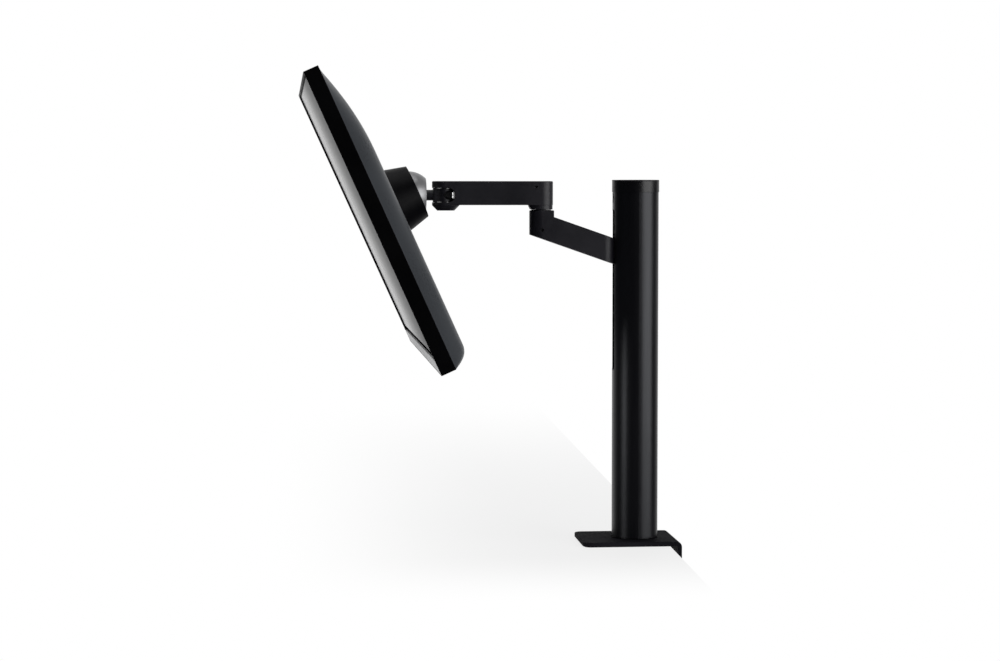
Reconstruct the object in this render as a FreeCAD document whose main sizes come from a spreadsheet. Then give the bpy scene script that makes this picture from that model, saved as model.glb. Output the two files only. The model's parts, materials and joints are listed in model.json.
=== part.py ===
"""Desk-clamp monitor arm with the flat display that it carries.

Frame, in millimetres: +Z up, origin on the desk surface at the post's axis, the screen
faces -Y and the clamp's flange hangs over the desk's rear edge on the +Y side.
"""
import FreeCAD, Part
import Sketcher
import math
import os
import re

Vector = FreeCAD.Vector

SIZES = {
    # running and assembly clearances
    "face_gap": 0.2,
    "run_gap": 0.1,
    "seat_gap": 0.05,
    # base plate with its bent flange
    "base_half_width": 49.5,
    "base_front": 70.0,
    "base_rear": 51.5,
    "base_thick": 5.0,
    "base_pad_thick": 0.9,
    "base_corner": 10.0,
    "base_bend": 6.5,
    "flange_drop": 64.0,
    # lower jaw, clamp screw and pad
    "jaw_half_width": 28.0,
    "jaw_wall": 5.0,
    "jaw_wall_top": 34.0,
    "jaw_floor_drop": 78.0,
    "jaw_floor": 8.0,
    "jaw_reach": 30.0,
    "jaw_rib_depth": 8.0,
    "jaw_rib_width": 4.0,
    "jaw_bolt_radius": 4.0,
    "jaw_bolt_offset": 16.0,
    "jaw_bolt_drop": 48.0,
    "clamp_y": 4.0,
    "desk_thick": 28.0,
    "clamp_rubber": 1.5,
    "clamp_cup_radius": 22.0,
    "clamp_cup_thick": 5.0,
    "clamp_screw_radius": 5.0,
    "clamp_thread_depth": 0.6,
    "clamp_thread_pitch": 3.0,
    "clamp_nut_radius": 9.0,
    "clamp_ball_radius": 6.5,
    "clamp_screw_length": 100.0,
    "clamp_knob_radius": 23.0,
    "clamp_knob_height": 16.0,
    # swivel between the base and the post
    "spigot_radius": 15.0,
    "spigot_flange_radius": 23.5,
    "spigot_flange": 4.0,
    "spigot_thread_radius": 12.0,
    "spigot_screw_circle": 19.5,
    "spigot_screw_radius": 2.5,
    "swivel_washer": 1.0,
    "hub_height": 39.0,
    "bush_wall": 3.0,
    "spigot_nut_radius": 19.0,
    "spigot_nut_height": 7.0,
    # post
    "post_radius": 28.5,
    "post_wall": 3.0,
    "post_top": 434.0,
    "post_floor_gap": 0.7,
    "slot_half_width": 8.2,
    "slot_bottom": 214.3,
    "slot_top": "=post_top - 21.3",
    "slot_corner": 4.0,
    "cap_overhang": 0.6,
    "cap_skirt": 13.4,
    "cap_plug": 8.0,
    "cap_disc": 1.6,
    "stop_height": "=post_top - 7",
    "stop_radius": 6.0,
    "rail_half_width": 8.0,
    "rail_back": "=post_radius - post_wall - 1.5",
    "rail_front": "=rail_back - 10",
    "rail_screw_radius": 2.0,
    "rail_screw_head": 4.0,
    "rail_screw_sink": 3.0,
    "rail_screw_low": 90.0,
    "rail_screw_middle": 250.0,
    "rail_screw_high": "=post_top - 34",
    "spring_seat_thick": 6.0,
    "spring_radius": 8.0,
    "spring_wall": 1.4,
    "spring_top": 222.0,
    "spring_gland": 5.0,
    "spring_floor": 2.0,
    "rod_radius": 4.0,
    "piston_bottom": 190.5,
    "piston_height": 5.0,
    "bumper_height": 8.0,
    "bumper_depth": 5.5,
    # carriage
    "carriage_bottom": 335.0,
    "carriage_height": 57.0,
    "carriage_half_width": 15.0,
    "carriage_front": 14.5,
    "carriage_back": "=rail_front - 2",
    "glide_side_gap": 0.3,
    "glide_height": 16.0,
    "glide_depth": 7.5,
    # lower arm
    "arm_half_width": 14.5,
    "elbow_reach": 117.5,
    "lower_arm_top": "=carriage_bottom + 76.7",
    "barrel_height": 29.8,
    "shoulder_drop": 8.2,
    "arm_slope": 19.3,
    "arm_end_reach": "=post_radius + 12",
    "tongue_half_width": 7.5,
    "tongue_bottom": "=carriage_bottom + 15.5",
    "tongue_top": "=carriage_bottom + 39",
    "arm_screw_low": "=carriage_bottom + 21",
    "arm_screw_high": "=carriage_bottom + 33.5",
    "arm_screw_radius": 3.0,
    "arm_screw_head": 5.0,
    "elbow_bore": 6.0,
    "elbow_bush_wall": 2.0,
    "elbow_bush_flange": 9.5,
    "elbow_bush_height": 9.0,
    "elbow_pocket_radius": 10.6,
    "elbow_pocket_top": "=lower_arm_top - 20.7",
    "elbow_nut_radius": 8.5,
    "elbow_nut_height": 5.0,
    "elbow_washer": 0.8,
    "elbow_washer_radius": 12.2,
    "arm_hole_radius": 2.1,
    "arm_hole_height": "=lower_arm_top - 24.3",
    "arm_hole_reach": "=elbow_reach",
    # upper arm
    "elbow_boss_height": 5.4,
    "elbow_boss_radius": 14.2,
    "elbow_boss_foot": 12.9,
    "elbow_boss_ramp": 2.0,
    "upper_arm_thick": 29.3,
    "upper_link": 119.7,
    "swivel_reach": "=elbow_reach + upper_link",
    "window_low": 3.2,
    "window_high": 8.2,
    "window_end_reach": "=swivel_reach - 12.8",
    "head_boss_length": 4.4,
    "head_boss_height": 6.7,
    "head_boss_slope": 6.2,
    "shaft_hole_radius": 1.6,
    "shaft_hole_reach": "=elbow_reach + 7.3",
    "shaft_hole_below_top": 7.0,
    "shaft_insert": 14.0,
    "swivel_pin_radius": 3.5,
    "swivel_head_radius": 7.0,
    "swivel_head": 3.4,
    "head_washer": 0.4,
    "head_washer_radius": 11.5,
    # head
    "knuckle_radius": 10.2,
    "knuckle_flange_radius": 11.3,
    "knuckle_waist_half": 3.4,
    "knuckle_rib_radius": 11.8,
    "knuckle_rib_half": 0.45,
    "knuckle_end_gap": 0.15,
    "knuckle_front": 13.5,
    "knuckle_block_half": 8.0,
    "neck_radius": 6.5,
    "tension_offset": 4.6,
    "tension_facet": 7.0,
    "tension_tip": 3.0,
    "tension_head_radius": 5.0,
    "tension_head": 1.8,
    "tension_shank_radius": 1.4,
    "head_link": 43.0,
    "tilt_reach": "=swivel_reach + head_link",
    "dome_radius": 29.0,
    "dome_wall": 2.5,
    "dome_flat": 20.5,
    "dome_front": 3.0,
    "fork_inner": 14.0,
    "fork_arm": 3.0,
    "fork_half_height": 9.0,
    "fork_base": 4.0,
    "fork_screw_circle": 9.0,
    "fork_screw_radius": 1.5,
    # tilt group, measured along the display's rear normal from the tilt axis
    "tilt_rest": 24.3,
    "tilt_shaft_radius": 5.0,
    "tilt_head_radius": 7.0,
    "tilt_head": 2.5,
    "tilt_washer": 0.8,
    "tilt_lug": 4.0,
    "tilt_lug_radius": 8.5,
    "crown": 26.8,
    "tilt_plate_face": "=crown - 1.5",
    "tilt_plate_thick": 3.0,
    "tilt_plate_radius": 41.5,
    "shroud_rim": 11.0,
    "shroud_rim_radius": 33.5,
    "shroud_base_radius": 42.5,
    "shroud_lip_radius": 44.5,
    "shroud_lip": 1.5,
    "shroud_wall": 2.0,
    "pivot_radius": 12.0,
    "pivot_friction": 1.2,
    "pivot_disc_radius": 32.0,
    "pivot_thread_radius": 9.0,
    "pivot_nut_radius": 15.0,
    "pivot_nut": 5.0,
    # display, measured the same way
    "display_half_width": 306.5,
    "display_height": 364.0,
    "display_drop": 6.4,
    "display_front": 64.7,
    "edge_thick": 17.5,
    "shell_side_curve": 54.0,
    "shell_upper_curve": 111.0,
    "shell_lower_radius": 17.0,
    "shell_wall": 2.5,
    "shell_hole_radius": "=tilt_plate_radius + 1",
    "frame_wall": 3.0,
    "panel_thick": 2.5,
    "panel_recess": 2.0,
    "chin_height": 17.0,
    "chin_gap": 1.8,
    "backlight_thick": 6.0,
    "chassis_thick": 1.2,
    "mount_half": 60.0,
    "mount_hole": 50.0,
    "mount_thick": 3.0,
    "mount_screw_radius": 2.0,
    "mount_screw_head": 4.0,
    "standoff_radius": 5.0,
    "port_left": -150.0,
    "port_right": -40.0,
    "port_low": 148.0,
    "port_high": 122.0,
    "port_sink": 7.0,
    "port_depth": 8.0,
    "port_wall": 1.6,
    "board_thick": 1.6,
    "button_radius": 5.0,
    "button_out": 5.0,
    "button_in": 6.0,
    "button_back": 50.5,
    "button_stem": 2.4,
}

# heights and depths that several pieces share
PLATE_TOP = "(base_pad_thick + base_thick)"
FLANGE_FACE = "(base_rear - base_thick)"
SPIGOT_FACE = f"({PLATE_TOP} + spigot_flange)"
HUB_BOTTOM = f"({SPIGOT_FACE} + swivel_washer + face_gap)"
HUB_TOP = f"({HUB_BOTTOM} + hub_height)"
NUT_BOTTOM = f"({HUB_TOP} + face_gap + swivel_washer)"
SEAT_TOP = f"({NUT_BOTTOM} + spigot_nut_height + 6 + spring_seat_thick)"
POST_BORE = "(post_radius - post_wall)"
CAP_TOP = "(post_top + cap_skirt + cap_disc)"
ELBOW_BOSS_FACE = "(lower_arm_top + elbow_washer + face_gap)"
UPPER_BOTTOM = f"({ELBOW_BOSS_FACE} + elbow_boss_height)"
UPPER_TOP = f"({UPPER_BOTTOM} + upper_arm_thick)"
WINDOW_BOTTOM = f"({UPPER_BOTTOM} + window_low)"
WINDOW_TOP = f"({UPPER_TOP} - window_high)"
WINDOW_RADIUS = "((upper_arm_thick - window_low - window_high) / 2)"
NECK_HEIGHT = f"({WINDOW_BOTTOM} + {WINDOW_RADIUS})"
KNUCKLE_BOTTOM = f"({WINDOW_BOTTOM} + knuckle_end_gap)"
KNUCKLE_TOP = f"({WINDOW_TOP} - knuckle_end_gap)"
BARREL_FRONT = "(elbow_reach + arm_half_width)"
BARREL_BACK = "(elbow_reach - arm_half_width)"
CARRIAGE_TOP = "(carriage_bottom + carriage_height)"
PAD_TOP = "(-desk_thick)"
CUP_BOTTOM = "(-desk_thick - clamp_rubber - clamp_cup_thick)"
TILT_PLATE_BACK = "(tilt_plate_face + tilt_plate_thick)"
MOUNT_FACE = f"({TILT_PLATE_BACK} + pivot_friction + face_gap)"
MOUNT_BACK = f"({MOUNT_FACE} + mount_thick)"
DISPLAY_TOP = "(display_height / 2 - display_drop)"
DISPLAY_BOTTOM = "(-display_height / 2 - display_drop)"
EDGE_BACK = "(display_front - edge_thick)"
CHIN_TOP = f"({DISPLAY_BOTTOM} + chin_height)"
PANEL_FACE = "(display_front - panel_recess)"
PANEL_BACK = f"({PANEL_FACE} - panel_thick)"
BACKLIGHT_BACK = f"({PANEL_BACK} - backlight_thick)"
CHASSIS_BACK = f"({BACKLIGHT_BACK} - chassis_thick)"
PORT_FACE = "(crown + port_sink)"

# places of repeated fasteners
JAW_BOLTS = ("jaw_bolt_offset", "-jaw_bolt_offset")
RAIL_SCREWS = ("rail_screw_low", "rail_screw_middle", "rail_screw_high")
ARM_SCREWS = ("arm_screw_low", "arm_screw_high")

doc = FreeCAD.newDocument("MonitorArm")
sheet = doc.addObject("Spreadsheet::Sheet", "Sizes")
for row, (alias, size) in enumerate(SIZES.items(), 1):
    sheet.set(f"A{row}", alias)
    sheet.set(f"B{row}", str(size))
    sheet.setAlias(f"B{row}", alias)
doc.recompute()

pieces = []
cuts = []


# ---------------------------------------------------------------- helpers


def full(expression):
    """The expression with each size's name written as the sheet's cell."""
    return re.sub(r"[a-z]\w*", lambda m: f"Sizes.{m[0]}" if m[0] in SIZES else m[0], expression)


def value(expression):
    return float(sheet.evalExpression(full(expression)))


def bind(thing, path, expression):
    thing.setExpression(path, full(expression))


def new_body(label):
    body = doc.addObject("PartDesign::Body", label)
    body.Label = label
    body.AllowCompound = True
    pieces.append(body)
    return body


def place(body, x="0", y="0", z="0"):
    """Puts a piece's own origin at x, y, z."""
    for axis, expression in (("x", x), ("y", y), ("z", z)):
        bind(body, f"Placement.Base.{axis}", expression)
    return body


def place_on_display(body):
    """Turns a piece drawn about the tilt axis to the display's angle at rest."""
    body.Placement = FreeCAD.Placement(Vector(), FreeCAD.Rotation(Vector(1, 0, 0), 1))
    bind(body, "Placement.Rotation.Angle", "tilt_rest")
    return place(body, y="-tilt_reach", z=NECK_HEIGHT)


def point_at(sketch, geometry, end, x, y):
    """Ties one end or centre of a sketch's geometry to x and y."""
    for kind, expression in (("DistanceX", x), ("DistanceY", y)):
        number = sketch.addConstraint(
            Sketcher.Constraint(kind, -1, 1, geometry, end, value(expression))
        )
        bind(sketch, f"Constraints[{number}]", expression)


def polygon(*points):
    def draw(sketch):
        first = sketch.GeometryCount
        corners = [Vector(value(x), value(y), 0) for x, y in points]
        for here, there in zip(corners, corners[1:] + corners[:1]):
            sketch.addGeometry(Part.LineSegment(here, there))
        for number, (x, y) in enumerate(points):
            after = first + (number + 1) % len(points)
            sketch.addConstraint(Sketcher.Constraint("Coincident", first + number, 2, after, 1))
            point_at(sketch, first + number, 1, x, y)

    return draw


def rectangle(left, low, right, high):
    return polygon((left, low), (right, low), (right, high), (left, high))


def circle(x, y, radius):
    def draw(sketch):
        centre = Vector(value(x), value(y), 0)
        number = sketch.addGeometry(Part.Circle(centre, Vector(0, 0, 1), value(radius)))
        point_at(sketch, number, 3, x, y)
        size = sketch.addConstraint(Sketcher.Constraint("Radius", number, value(radius)))
        bind(sketch, f"Constraints[{size}]", radius)

    return draw


def regular(x, y, radius, sides, turn=0):
    """A regular polygon about x, y."""
    points = []
    for side in range(sides):
        angle = math.radians(turn + 360 * side / sides)
        points.append(
            (
                f"{x} + ({radius}) * {math.cos(angle):.6f}",
                f"{y} + ({radius}) * {math.sin(angle):.6f}",
            )
        )
    return polygon(*points)


def oval(low, high, radius):
    """A round-ended slot about the sketch's vertical axis, between two centres."""

    def draw(sketch):
        bottom, top, reach = value(low), value(high), value(radius)
        first = sketch.GeometryCount
        up = Vector(0, 0, 1)
        below = Part.Circle(Vector(0, bottom, 0), up, reach)
        above = Part.Circle(Vector(0, top, 0), up, reach)
        sketch.addGeometry(Part.ArcOfCircle(below, math.pi, 2 * math.pi))
        sketch.addGeometry(Part.LineSegment(Vector(reach, bottom, 0), Vector(reach, top, 0)))
        sketch.addGeometry(Part.ArcOfCircle(above, 0, math.pi))
        sketch.addGeometry(Part.LineSegment(Vector(-reach, top, 0), Vector(-reach, bottom, 0)))
        for side in range(4):
            after = first + (side + 1) % 4
            sketch.addConstraint(Sketcher.Constraint("Tangent", first + side, 2, after, 1))
        point_at(sketch, first, 3, "0", low)
        point_at(sketch, first + 2, 3, "0", high)
        size = sketch.addConstraint(Sketcher.Constraint("Radius", first, reach))
        bind(sketch, f"Constraints[{size}]", radius)

    return draw


def new_sketch(body, plane, lift, outlines):
    sketch = body.newObject("Sketcher::SketchObject", f"{body.Name}_sketch")
    origin = [o for o in body.Origin.OriginFeatures if o.Role == f"{plane}_Plane"][0]
    sketch.AttachmentSupport = [(origin, "")]
    sketch.MapMode = "FlatFace"
    bind(sketch, "AttachmentOffset.Base.z", lift)
    for draw in outlines:
        draw(sketch)
    return sketch


def prism(body, plane, start, end, *outlines, cut=False):
    """Pads, or cuts, outlines from start to end along the axis that the plane lacks."""
    backwards = plane == "XZ"
    lift = f"-({start})" if backwards else start
    sketch = new_sketch(body, plane, lift, outlines)
    kind = "Pocket" if cut else "Pad"
    before = body.Tip
    feature = body.newObject(f"PartDesign::{kind}", f"{body.Name}_{kind.lower()}")
    feature.Profile = sketch
    feature.Reversed = backwards != cut
    bind(feature, "Length", f"({end}) - ({start})")
    if cut:
        cuts.append((feature, before))
    return feature


def spin(body, axis, *points):
    """Turns an outline about the body's own X, Y or Z axis: points are (radius, along)."""
    plane = {"X": "XY", "Y": "XY", "Z": "XZ"}[axis]
    if axis == "X":
        points = [(along, radius) for radius, along in points]
    sketch = new_sketch(body, plane, "0", [polygon(*points)])
    feature = body.newObject("PartDesign::Revolution", f"{body.Name}_turn")
    feature.Profile = sketch
    feature.ReferenceAxis = (sketch, ["H_Axis" if axis == "X" else "V_Axis"])
    feature.Angle = 360
    return feature


def ring(inner, outer, low, high):
    return (inner, low), (outer, low), (outer, high), (inner, high)


def pattern(body, feature, plane_axis, count):
    """Repeats a feature about the body's own axis."""
    copies = body.newObject("PartDesign::PolarPattern", f"{body.Name}_pattern")
    copies.Originals = [feature]
    origin = [o for o in body.Origin.OriginFeatures if o.Role == f"{plane_axis}_Axis"][0]
    copies.Axis = (origin, [""])
    copies.Angle = 360
    copies.Occurrences = count
    body.Tip = copies
    return copies


def soften(body, kind, size, wanted):
    """Fillets or chamfers the tip's edges that the test picks."""
    doc.recompute()
    tip = body.Tip
    names = [f"Edge{n}" for n, edge in enumerate(tip.Shape.Edges, 1) if wanted(edge)]
    feature = body.newObject(f"PartDesign::{kind}", f"{body.Name}_{kind.lower()}")
    feature.Base = (tip, names)
    bind(feature, "Radius" if kind == "Fillet" else "Size", size)
    body.Tip = feature
    return feature


def spans(edge, axis):
    """How far the edge reaches along an axis."""
    return getattr(edge.BoundBox, f"{axis}Length")


def lies_at(edge, axis, where, slack=0.01):
    """Whether the whole edge lies at one place along an axis."""
    box = edge.BoundBox
    low, high = getattr(box, f"{axis}Min"), getattr(box, f"{axis}Max")
    return abs(low - where) < slack and abs(high - where) < slack


def runs_along(edge, axis):
    others = [a for a in "XYZ" if a != axis]
    return spans(edge, axis) > 0.01 and all(spans(edge, a) < 0.01 for a in others)


def bolts(label, plane, seat, places, tip, radius, head_radius, head, socket, outward=1):
    """Cap screws in one group: seat is under the head, tip is the shank's end."""
    body = new_body(label)
    crown_end = f"({seat}) + ({head}) * {outward}"
    socket_floor = f"({seat}) + ({head}) * {0.4 * outward}"
    head_ends = sorted((seat, crown_end), key=value)
    shank_ends = sorted((seat, tip), key=value)
    socket_ends = sorted((socket_floor, crown_end), key=value)
    prism(body, plane, *head_ends, *[circle(x, y, head_radius) for x, y in places])
    prism(body, plane, *shank_ends, *[circle(x, y, radius) for x, y in places])
    prism(body, plane, *socket_ends, *[regular(x, y, socket, 6) for x, y in places], cut=True)
    return body


# ---------------------------------------------------------------- base and clamp


def make_base_plate():
    body = new_body("base_plate")
    prism(
        body,
        "YZ",
        "-base_half_width",
        "base_half_width",
        polygon(
            ("-base_front", "base_pad_thick"),
            (FLANGE_FACE, "base_pad_thick"),
            (FLANGE_FACE, "-flange_drop"),
            ("base_rear", "-flange_drop"),
            ("base_rear", PLATE_TOP),
            ("-base_front", PLATE_TOP),
        ),
    )
    outer, inner = value("base_rear"), value(FLANGE_FACE)
    top, bottom = value(PLATE_TOP), value("base_pad_thick")
    soften(
        body,
        "Fillet",
        "base_bend",
        lambda e: runs_along(e, "X") and lies_at(e, "Y", outer) and lies_at(e, "Z", top),
    )
    soften(
        body,
        "Fillet",
        "base_bend - base_thick",
        lambda e: runs_along(e, "X") and lies_at(e, "Y", inner) and lies_at(e, "Z", bottom),
    )
    front = value("-base_front")
    soften(
        body, "Fillet", "base_corner", lambda e: runs_along(e, "Z") and lies_at(e, "Y", front)
    )
    drop = value("-flange_drop")
    soften(
        body,
        "Fillet",
        "base_corner - 2",
        lambda e: runs_along(e, "Y") and lies_at(e, "Z", drop),
    )
    holes = [spigot_screw_place(n) for n in range(4)]
    prism(
        body,
        "XY",
        "base_pad_thick",
        PLATE_TOP,
        *[circle(x, y, "spigot_screw_radius + face_gap") for x, y in holes],
        cut=True,
    )
    prism(
        body,
        "XY",
        "base_pad_thick",
        "base_pad_thick + 3",
        *[circle(x, y, "spigot_screw_radius * 1.8 + face_gap") for x, y in holes],
        cut=True,
    )
    prism(
        body,
        "XZ",
        f"{FLANGE_FACE} - 1",
        "base_rear + 1",
        *[circle(x, "-jaw_bolt_drop", "jaw_bolt_radius + face_gap") for x in JAW_BOLTS],
        cut=True,
    )
    soften(body, "Chamfer", "0.6", lambda e: lies_at(e, "Z", top) and spans(e, "X") > 30)


def spigot_screw_place(number):
    angle = math.radians(45 + 90 * number)
    return (
        f"spigot_screw_circle * {math.cos(angle):.6f}",
        f"spigot_screw_circle * {math.sin(angle):.6f}",
    )


def make_base_pad():
    body = new_body("base_pad")
    prism(
        body,
        "XY",
        "0",
        "base_pad_thick",
        rectangle(
            "-base_half_width + 2", "-base_front + 2", "base_half_width - 2", f"{FLANGE_FACE} - 3"
        ),
    )
    soften(body, "Fillet", "base_corner - 2", lambda e: runs_along(e, "Z"))


def make_spigot():
    body = new_body("post_spigot")
    shoulder = f"{HUB_TOP} + face_gap"
    spin(
        body,
        "Z",
        ("0", PLATE_TOP),
        ("spigot_flange_radius", PLATE_TOP),
        ("spigot_flange_radius", SPIGOT_FACE),
        ("spigot_radius", SPIGOT_FACE),
        ("spigot_radius", shoulder),
        ("spigot_thread_radius", shoulder),
        ("spigot_thread_radius", f"{NUT_BOTTOM} + spigot_nut_height + 1"),
        ("0", f"{NUT_BOTTOM} + spigot_nut_height + 1"),
    )
    holes = [spigot_screw_place(n) for n in range(4)]
    prism(
        body,
        "XY",
        PLATE_TOP,
        f"{SPIGOT_FACE} - 0.5",
        *[circle(x, y, "spigot_screw_radius + seat_gap") for x, y in holes],
        cut=True,
    )
    bolts(
        "spigot_screws",
        "XY",
        "base_pad_thick + 3 - face_gap",
        holes,
        f"{SPIGOT_FACE} - 0.7",
        "spigot_screw_radius",
        "spigot_screw_radius * 1.8",
        "2.6",
        "spigot_screw_radius * 0.9",
        outward=-1,
    )


def make_swivel_hardware():
    body = new_body("swivel_washers")
    high = f"{SPIGOT_FACE} + swivel_washer"
    spin(body, "Z", *ring("spigot_radius + 0.6", "spigot_flange_radius", SPIGOT_FACE, high))
    low = f"{NUT_BOTTOM} - swivel_washer"
    spin(body, "Z", *ring("spigot_thread_radius + 0.1", "spigot_nut_radius + 2", low, NUT_BOTTOM))
    body = new_body("spigot_nut")
    prism(
        body,
        "XY",
        NUT_BOTTOM,
        f"{NUT_BOTTOM} + spigot_nut_height",
        regular("0", "0", "spigot_nut_radius", 6),
        circle("0", "0", "spigot_thread_radius + seat_gap"),
    )


def make_lower_jaw():
    body = new_body("lower_jaw")
    floor, under = "-jaw_floor_drop", "-jaw_floor_drop - jaw_floor"
    back = "base_rear + jaw_wall"
    prism(
        body,
        "YZ",
        "-jaw_half_width",
        "jaw_half_width",
        polygon(
            ("-jaw_reach", under),
            (back, under),
            (back, "-jaw_wall_top"),
            ("base_rear", "-jaw_wall_top"),
            ("base_rear", floor),
            ("-jaw_reach", floor),
        ),
    )
    for side in (-1, 1):
        edges = sorted(
            (f"{side} * (jaw_half_width - 4)", f"{side} * (jaw_half_width - 4 - jaw_rib_width)"),
            key=value,
        )
        prism(
            body,
            "YZ",
            *edges,
            polygon(
                ("-jaw_reach + 12", under),
                ("-jaw_reach + 24", f"{under} - jaw_rib_depth"),
                (back, f"{under} - jaw_rib_depth"),
                (back, under),
            ),
        )
    prism(body, "XY", floor, f"{floor} + 3", circle("0", "clamp_y", "clamp_nut_radius"))
    prism(
        body,
        "XY",
        f"{under} - 1",
        f"{floor} + 4",
        circle("0", "clamp_y", "clamp_screw_radius + 0.3"),
        cut=True,
    )
    prism(
        body,
        "XZ",
        "base_rear - 1",
        f"{back} + 1",
        *[circle(x, "-jaw_bolt_drop", "jaw_bolt_radius + face_gap") for x in JAW_BOLTS],
        cut=True,
    )
    front, top, low = value("-jaw_reach"), value("-jaw_wall_top"), value(under)
    soften(
        body,
        "Fillet",
        "10",
        lambda e: (runs_along(e, "Z") and lies_at(e, "Y", front))
        or (runs_along(e, "Y") and lies_at(e, "Z", top)),
    )
    rear = value(back)
    soften(
        body,
        "Fillet",
        "3",
        lambda e: runs_along(e, "X") and lies_at(e, "Y", rear) and lies_at(e, "Z", low, 0.1),
    )
    bolts(
        "jaw_bolts",
        "XZ",
        back,
        [(x, "-jaw_bolt_drop") for x in JAW_BOLTS],
        f"{FLANGE_FACE} + 0.5",
        "jaw_bolt_radius",
        "jaw_bolt_radius * 1.9",
        "5",
        "jaw_bolt_radius * 0.7",
    )


def make_clamp_screw():
    rubber = new_body("clamp_pad_rubber")
    spin(rubber, "Z", *ring("0", "clamp_cup_radius - 1", f"{PAD_TOP} - clamp_rubber", PAD_TOP))
    place(rubber, y="clamp_y")
    cup = new_body("clamp_pad_cup")
    socket_top = f"{CUP_BOTTOM} + clamp_cup_thick - 1.5"
    spin(
        cup,
        "Z",
        ("0", socket_top),
        ("clamp_ball_radius + 0.3", socket_top),
        ("clamp_ball_radius + 0.3", f"{CUP_BOTTOM} - 4"),
        ("clamp_ball_radius + 3", f"{CUP_BOTTOM} - 4"),
        ("clamp_ball_radius + 4", CUP_BOTTOM),
        ("clamp_cup_radius - 2", f"{CUP_BOTTOM} + 1.5"),
        ("clamp_cup_radius", f"{CUP_BOTTOM} + 3"),
        ("clamp_cup_radius", f"{CUP_BOTTOM} + clamp_cup_thick"),
        ("0", f"{CUP_BOTTOM} + clamp_cup_thick"),
    )
    place(cup, y="clamp_y")
    screw = new_body("clamp_screw")
    top = f"{socket_top} - 0.3"
    bottom = f"{socket_top} - clamp_screw_length"
    core = "clamp_screw_radius - clamp_thread_depth"
    points = [
        ("0", bottom),
        (core, bottom),
    ]
    thread_bottom = value(bottom) + value("clamp_knob_height") + 1
    thread_top = value(top) - 10
    turns = int((thread_top - thread_bottom) / value("clamp_thread_pitch"))
    for turn in range(turns):
        foot = f"{bottom} + clamp_knob_height + 1 + clamp_thread_pitch * {turn}"
        points += [
            (core, f"{foot} + clamp_thread_pitch * 0.1"),
            ("clamp_screw_radius", f"{foot} + clamp_thread_pitch * 0.35"),
            ("clamp_screw_radius", f"{foot} + clamp_thread_pitch * 0.65"),
            (core, f"{foot} + clamp_thread_pitch * 0.9"),
        ]
    points += [
        (core, f"{top} - 8.5"),
        ("clamp_ball_radius", f"{top} - 7"),
        ("clamp_ball_radius", f"{top} - 1.5"),
        ("clamp_ball_radius - 1.5", top),
        ("0", top),
    ]
    spin(screw, "Z", *points)
    place(screw, y="clamp_y")
    knob = new_body("clamp_knob")
    spin(
        knob,
        "Z",
        (f"{core} + seat_gap", bottom),
        ("clamp_knob_radius - 5", bottom),
        ("clamp_knob_radius", f"{bottom} + 3"),
        ("clamp_knob_radius", f"{bottom} + clamp_knob_height - 6"),
        ("clamp_knob_radius - 3", f"{bottom} + clamp_knob_height - 3"),
        ("clamp_nut_radius", f"{bottom} + clamp_knob_height"),
        (f"{core} + seat_gap", f"{bottom} + clamp_knob_height"),
    )
    groove = prism(
        knob,
        "XY",
        f"{bottom} - 1",
        f"{bottom} + clamp_knob_height + 1",
        circle("clamp_knob_radius + 4", "0", "8"),
        cut=True,
    )
    pattern(knob, groove, "Z", 6)
    place(knob, y="clamp_y")


# ---------------------------------------------------------------- post


def make_post_tube():
    body = new_body("post_tube")
    bottom = f"{PLATE_TOP} + post_floor_gap"
    spin(body, "Z", *ring(POST_BORE, "post_radius", bottom, "post_top"))
    prism(
        body,
        "XZ",
        "-post_radius - 1",
        "-post_radius / 2",
        rectangle("-slot_half_width", "slot_bottom", "slot_half_width", "slot_top"),
        cut=True,
    )
    soften(
        body,
        "Fillet",
        "slot_corner",
        lambda e: runs_along(e, "Y")
        and abs(abs(e.BoundBox.XMin) - value("slot_half_width")) < 0.01,
    )
    prism(
        body,
        "XZ",
        "-post_radius - 1",
        "-post_radius / 2",
        circle("0", "stop_height", "stop_radius + face_gap"),
        cut=True,
    )
    prism(
        body,
        "XZ",
        "post_radius / 2",
        "post_radius - 1.2",
        *[circle("0", z, "rail_screw_radius + face_gap") for z in RAIL_SCREWS],
        cut=True,
    )


def make_post_bottom():
    hub = new_body("bottom_hub")
    bore = "spigot_radius + run_gap + bush_wall"
    outer = f"{POST_BORE} - seat_gap"
    spin(
        hub,
        "Z",
        (f"{bore} + seat_gap", HUB_BOTTOM),
        (outer, HUB_BOTTOM),
        (outer, HUB_TOP),
        (f"{bore} + seat_gap", HUB_TOP),
    )
    bush = new_body("hub_bush")
    spin(bush, "Z", *ring("spigot_radius + run_gap", bore, HUB_BOTTOM, HUB_TOP))
    seat = new_body("spring_seat")
    under = f"{SEAT_TOP} - spring_seat_thick"
    spin(
        seat,
        "Z",
        ("0", under),
        (f"{outer} - 2.5", under),
        (f"{outer} - 2.5", HUB_TOP),
        (outer, HUB_TOP),
        (outer, SEAT_TOP),
        ("5", SEAT_TOP),
        ("5", f"{SEAT_TOP} + 6"),
        ("0", f"{SEAT_TOP} + 6"),
    )


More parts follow.
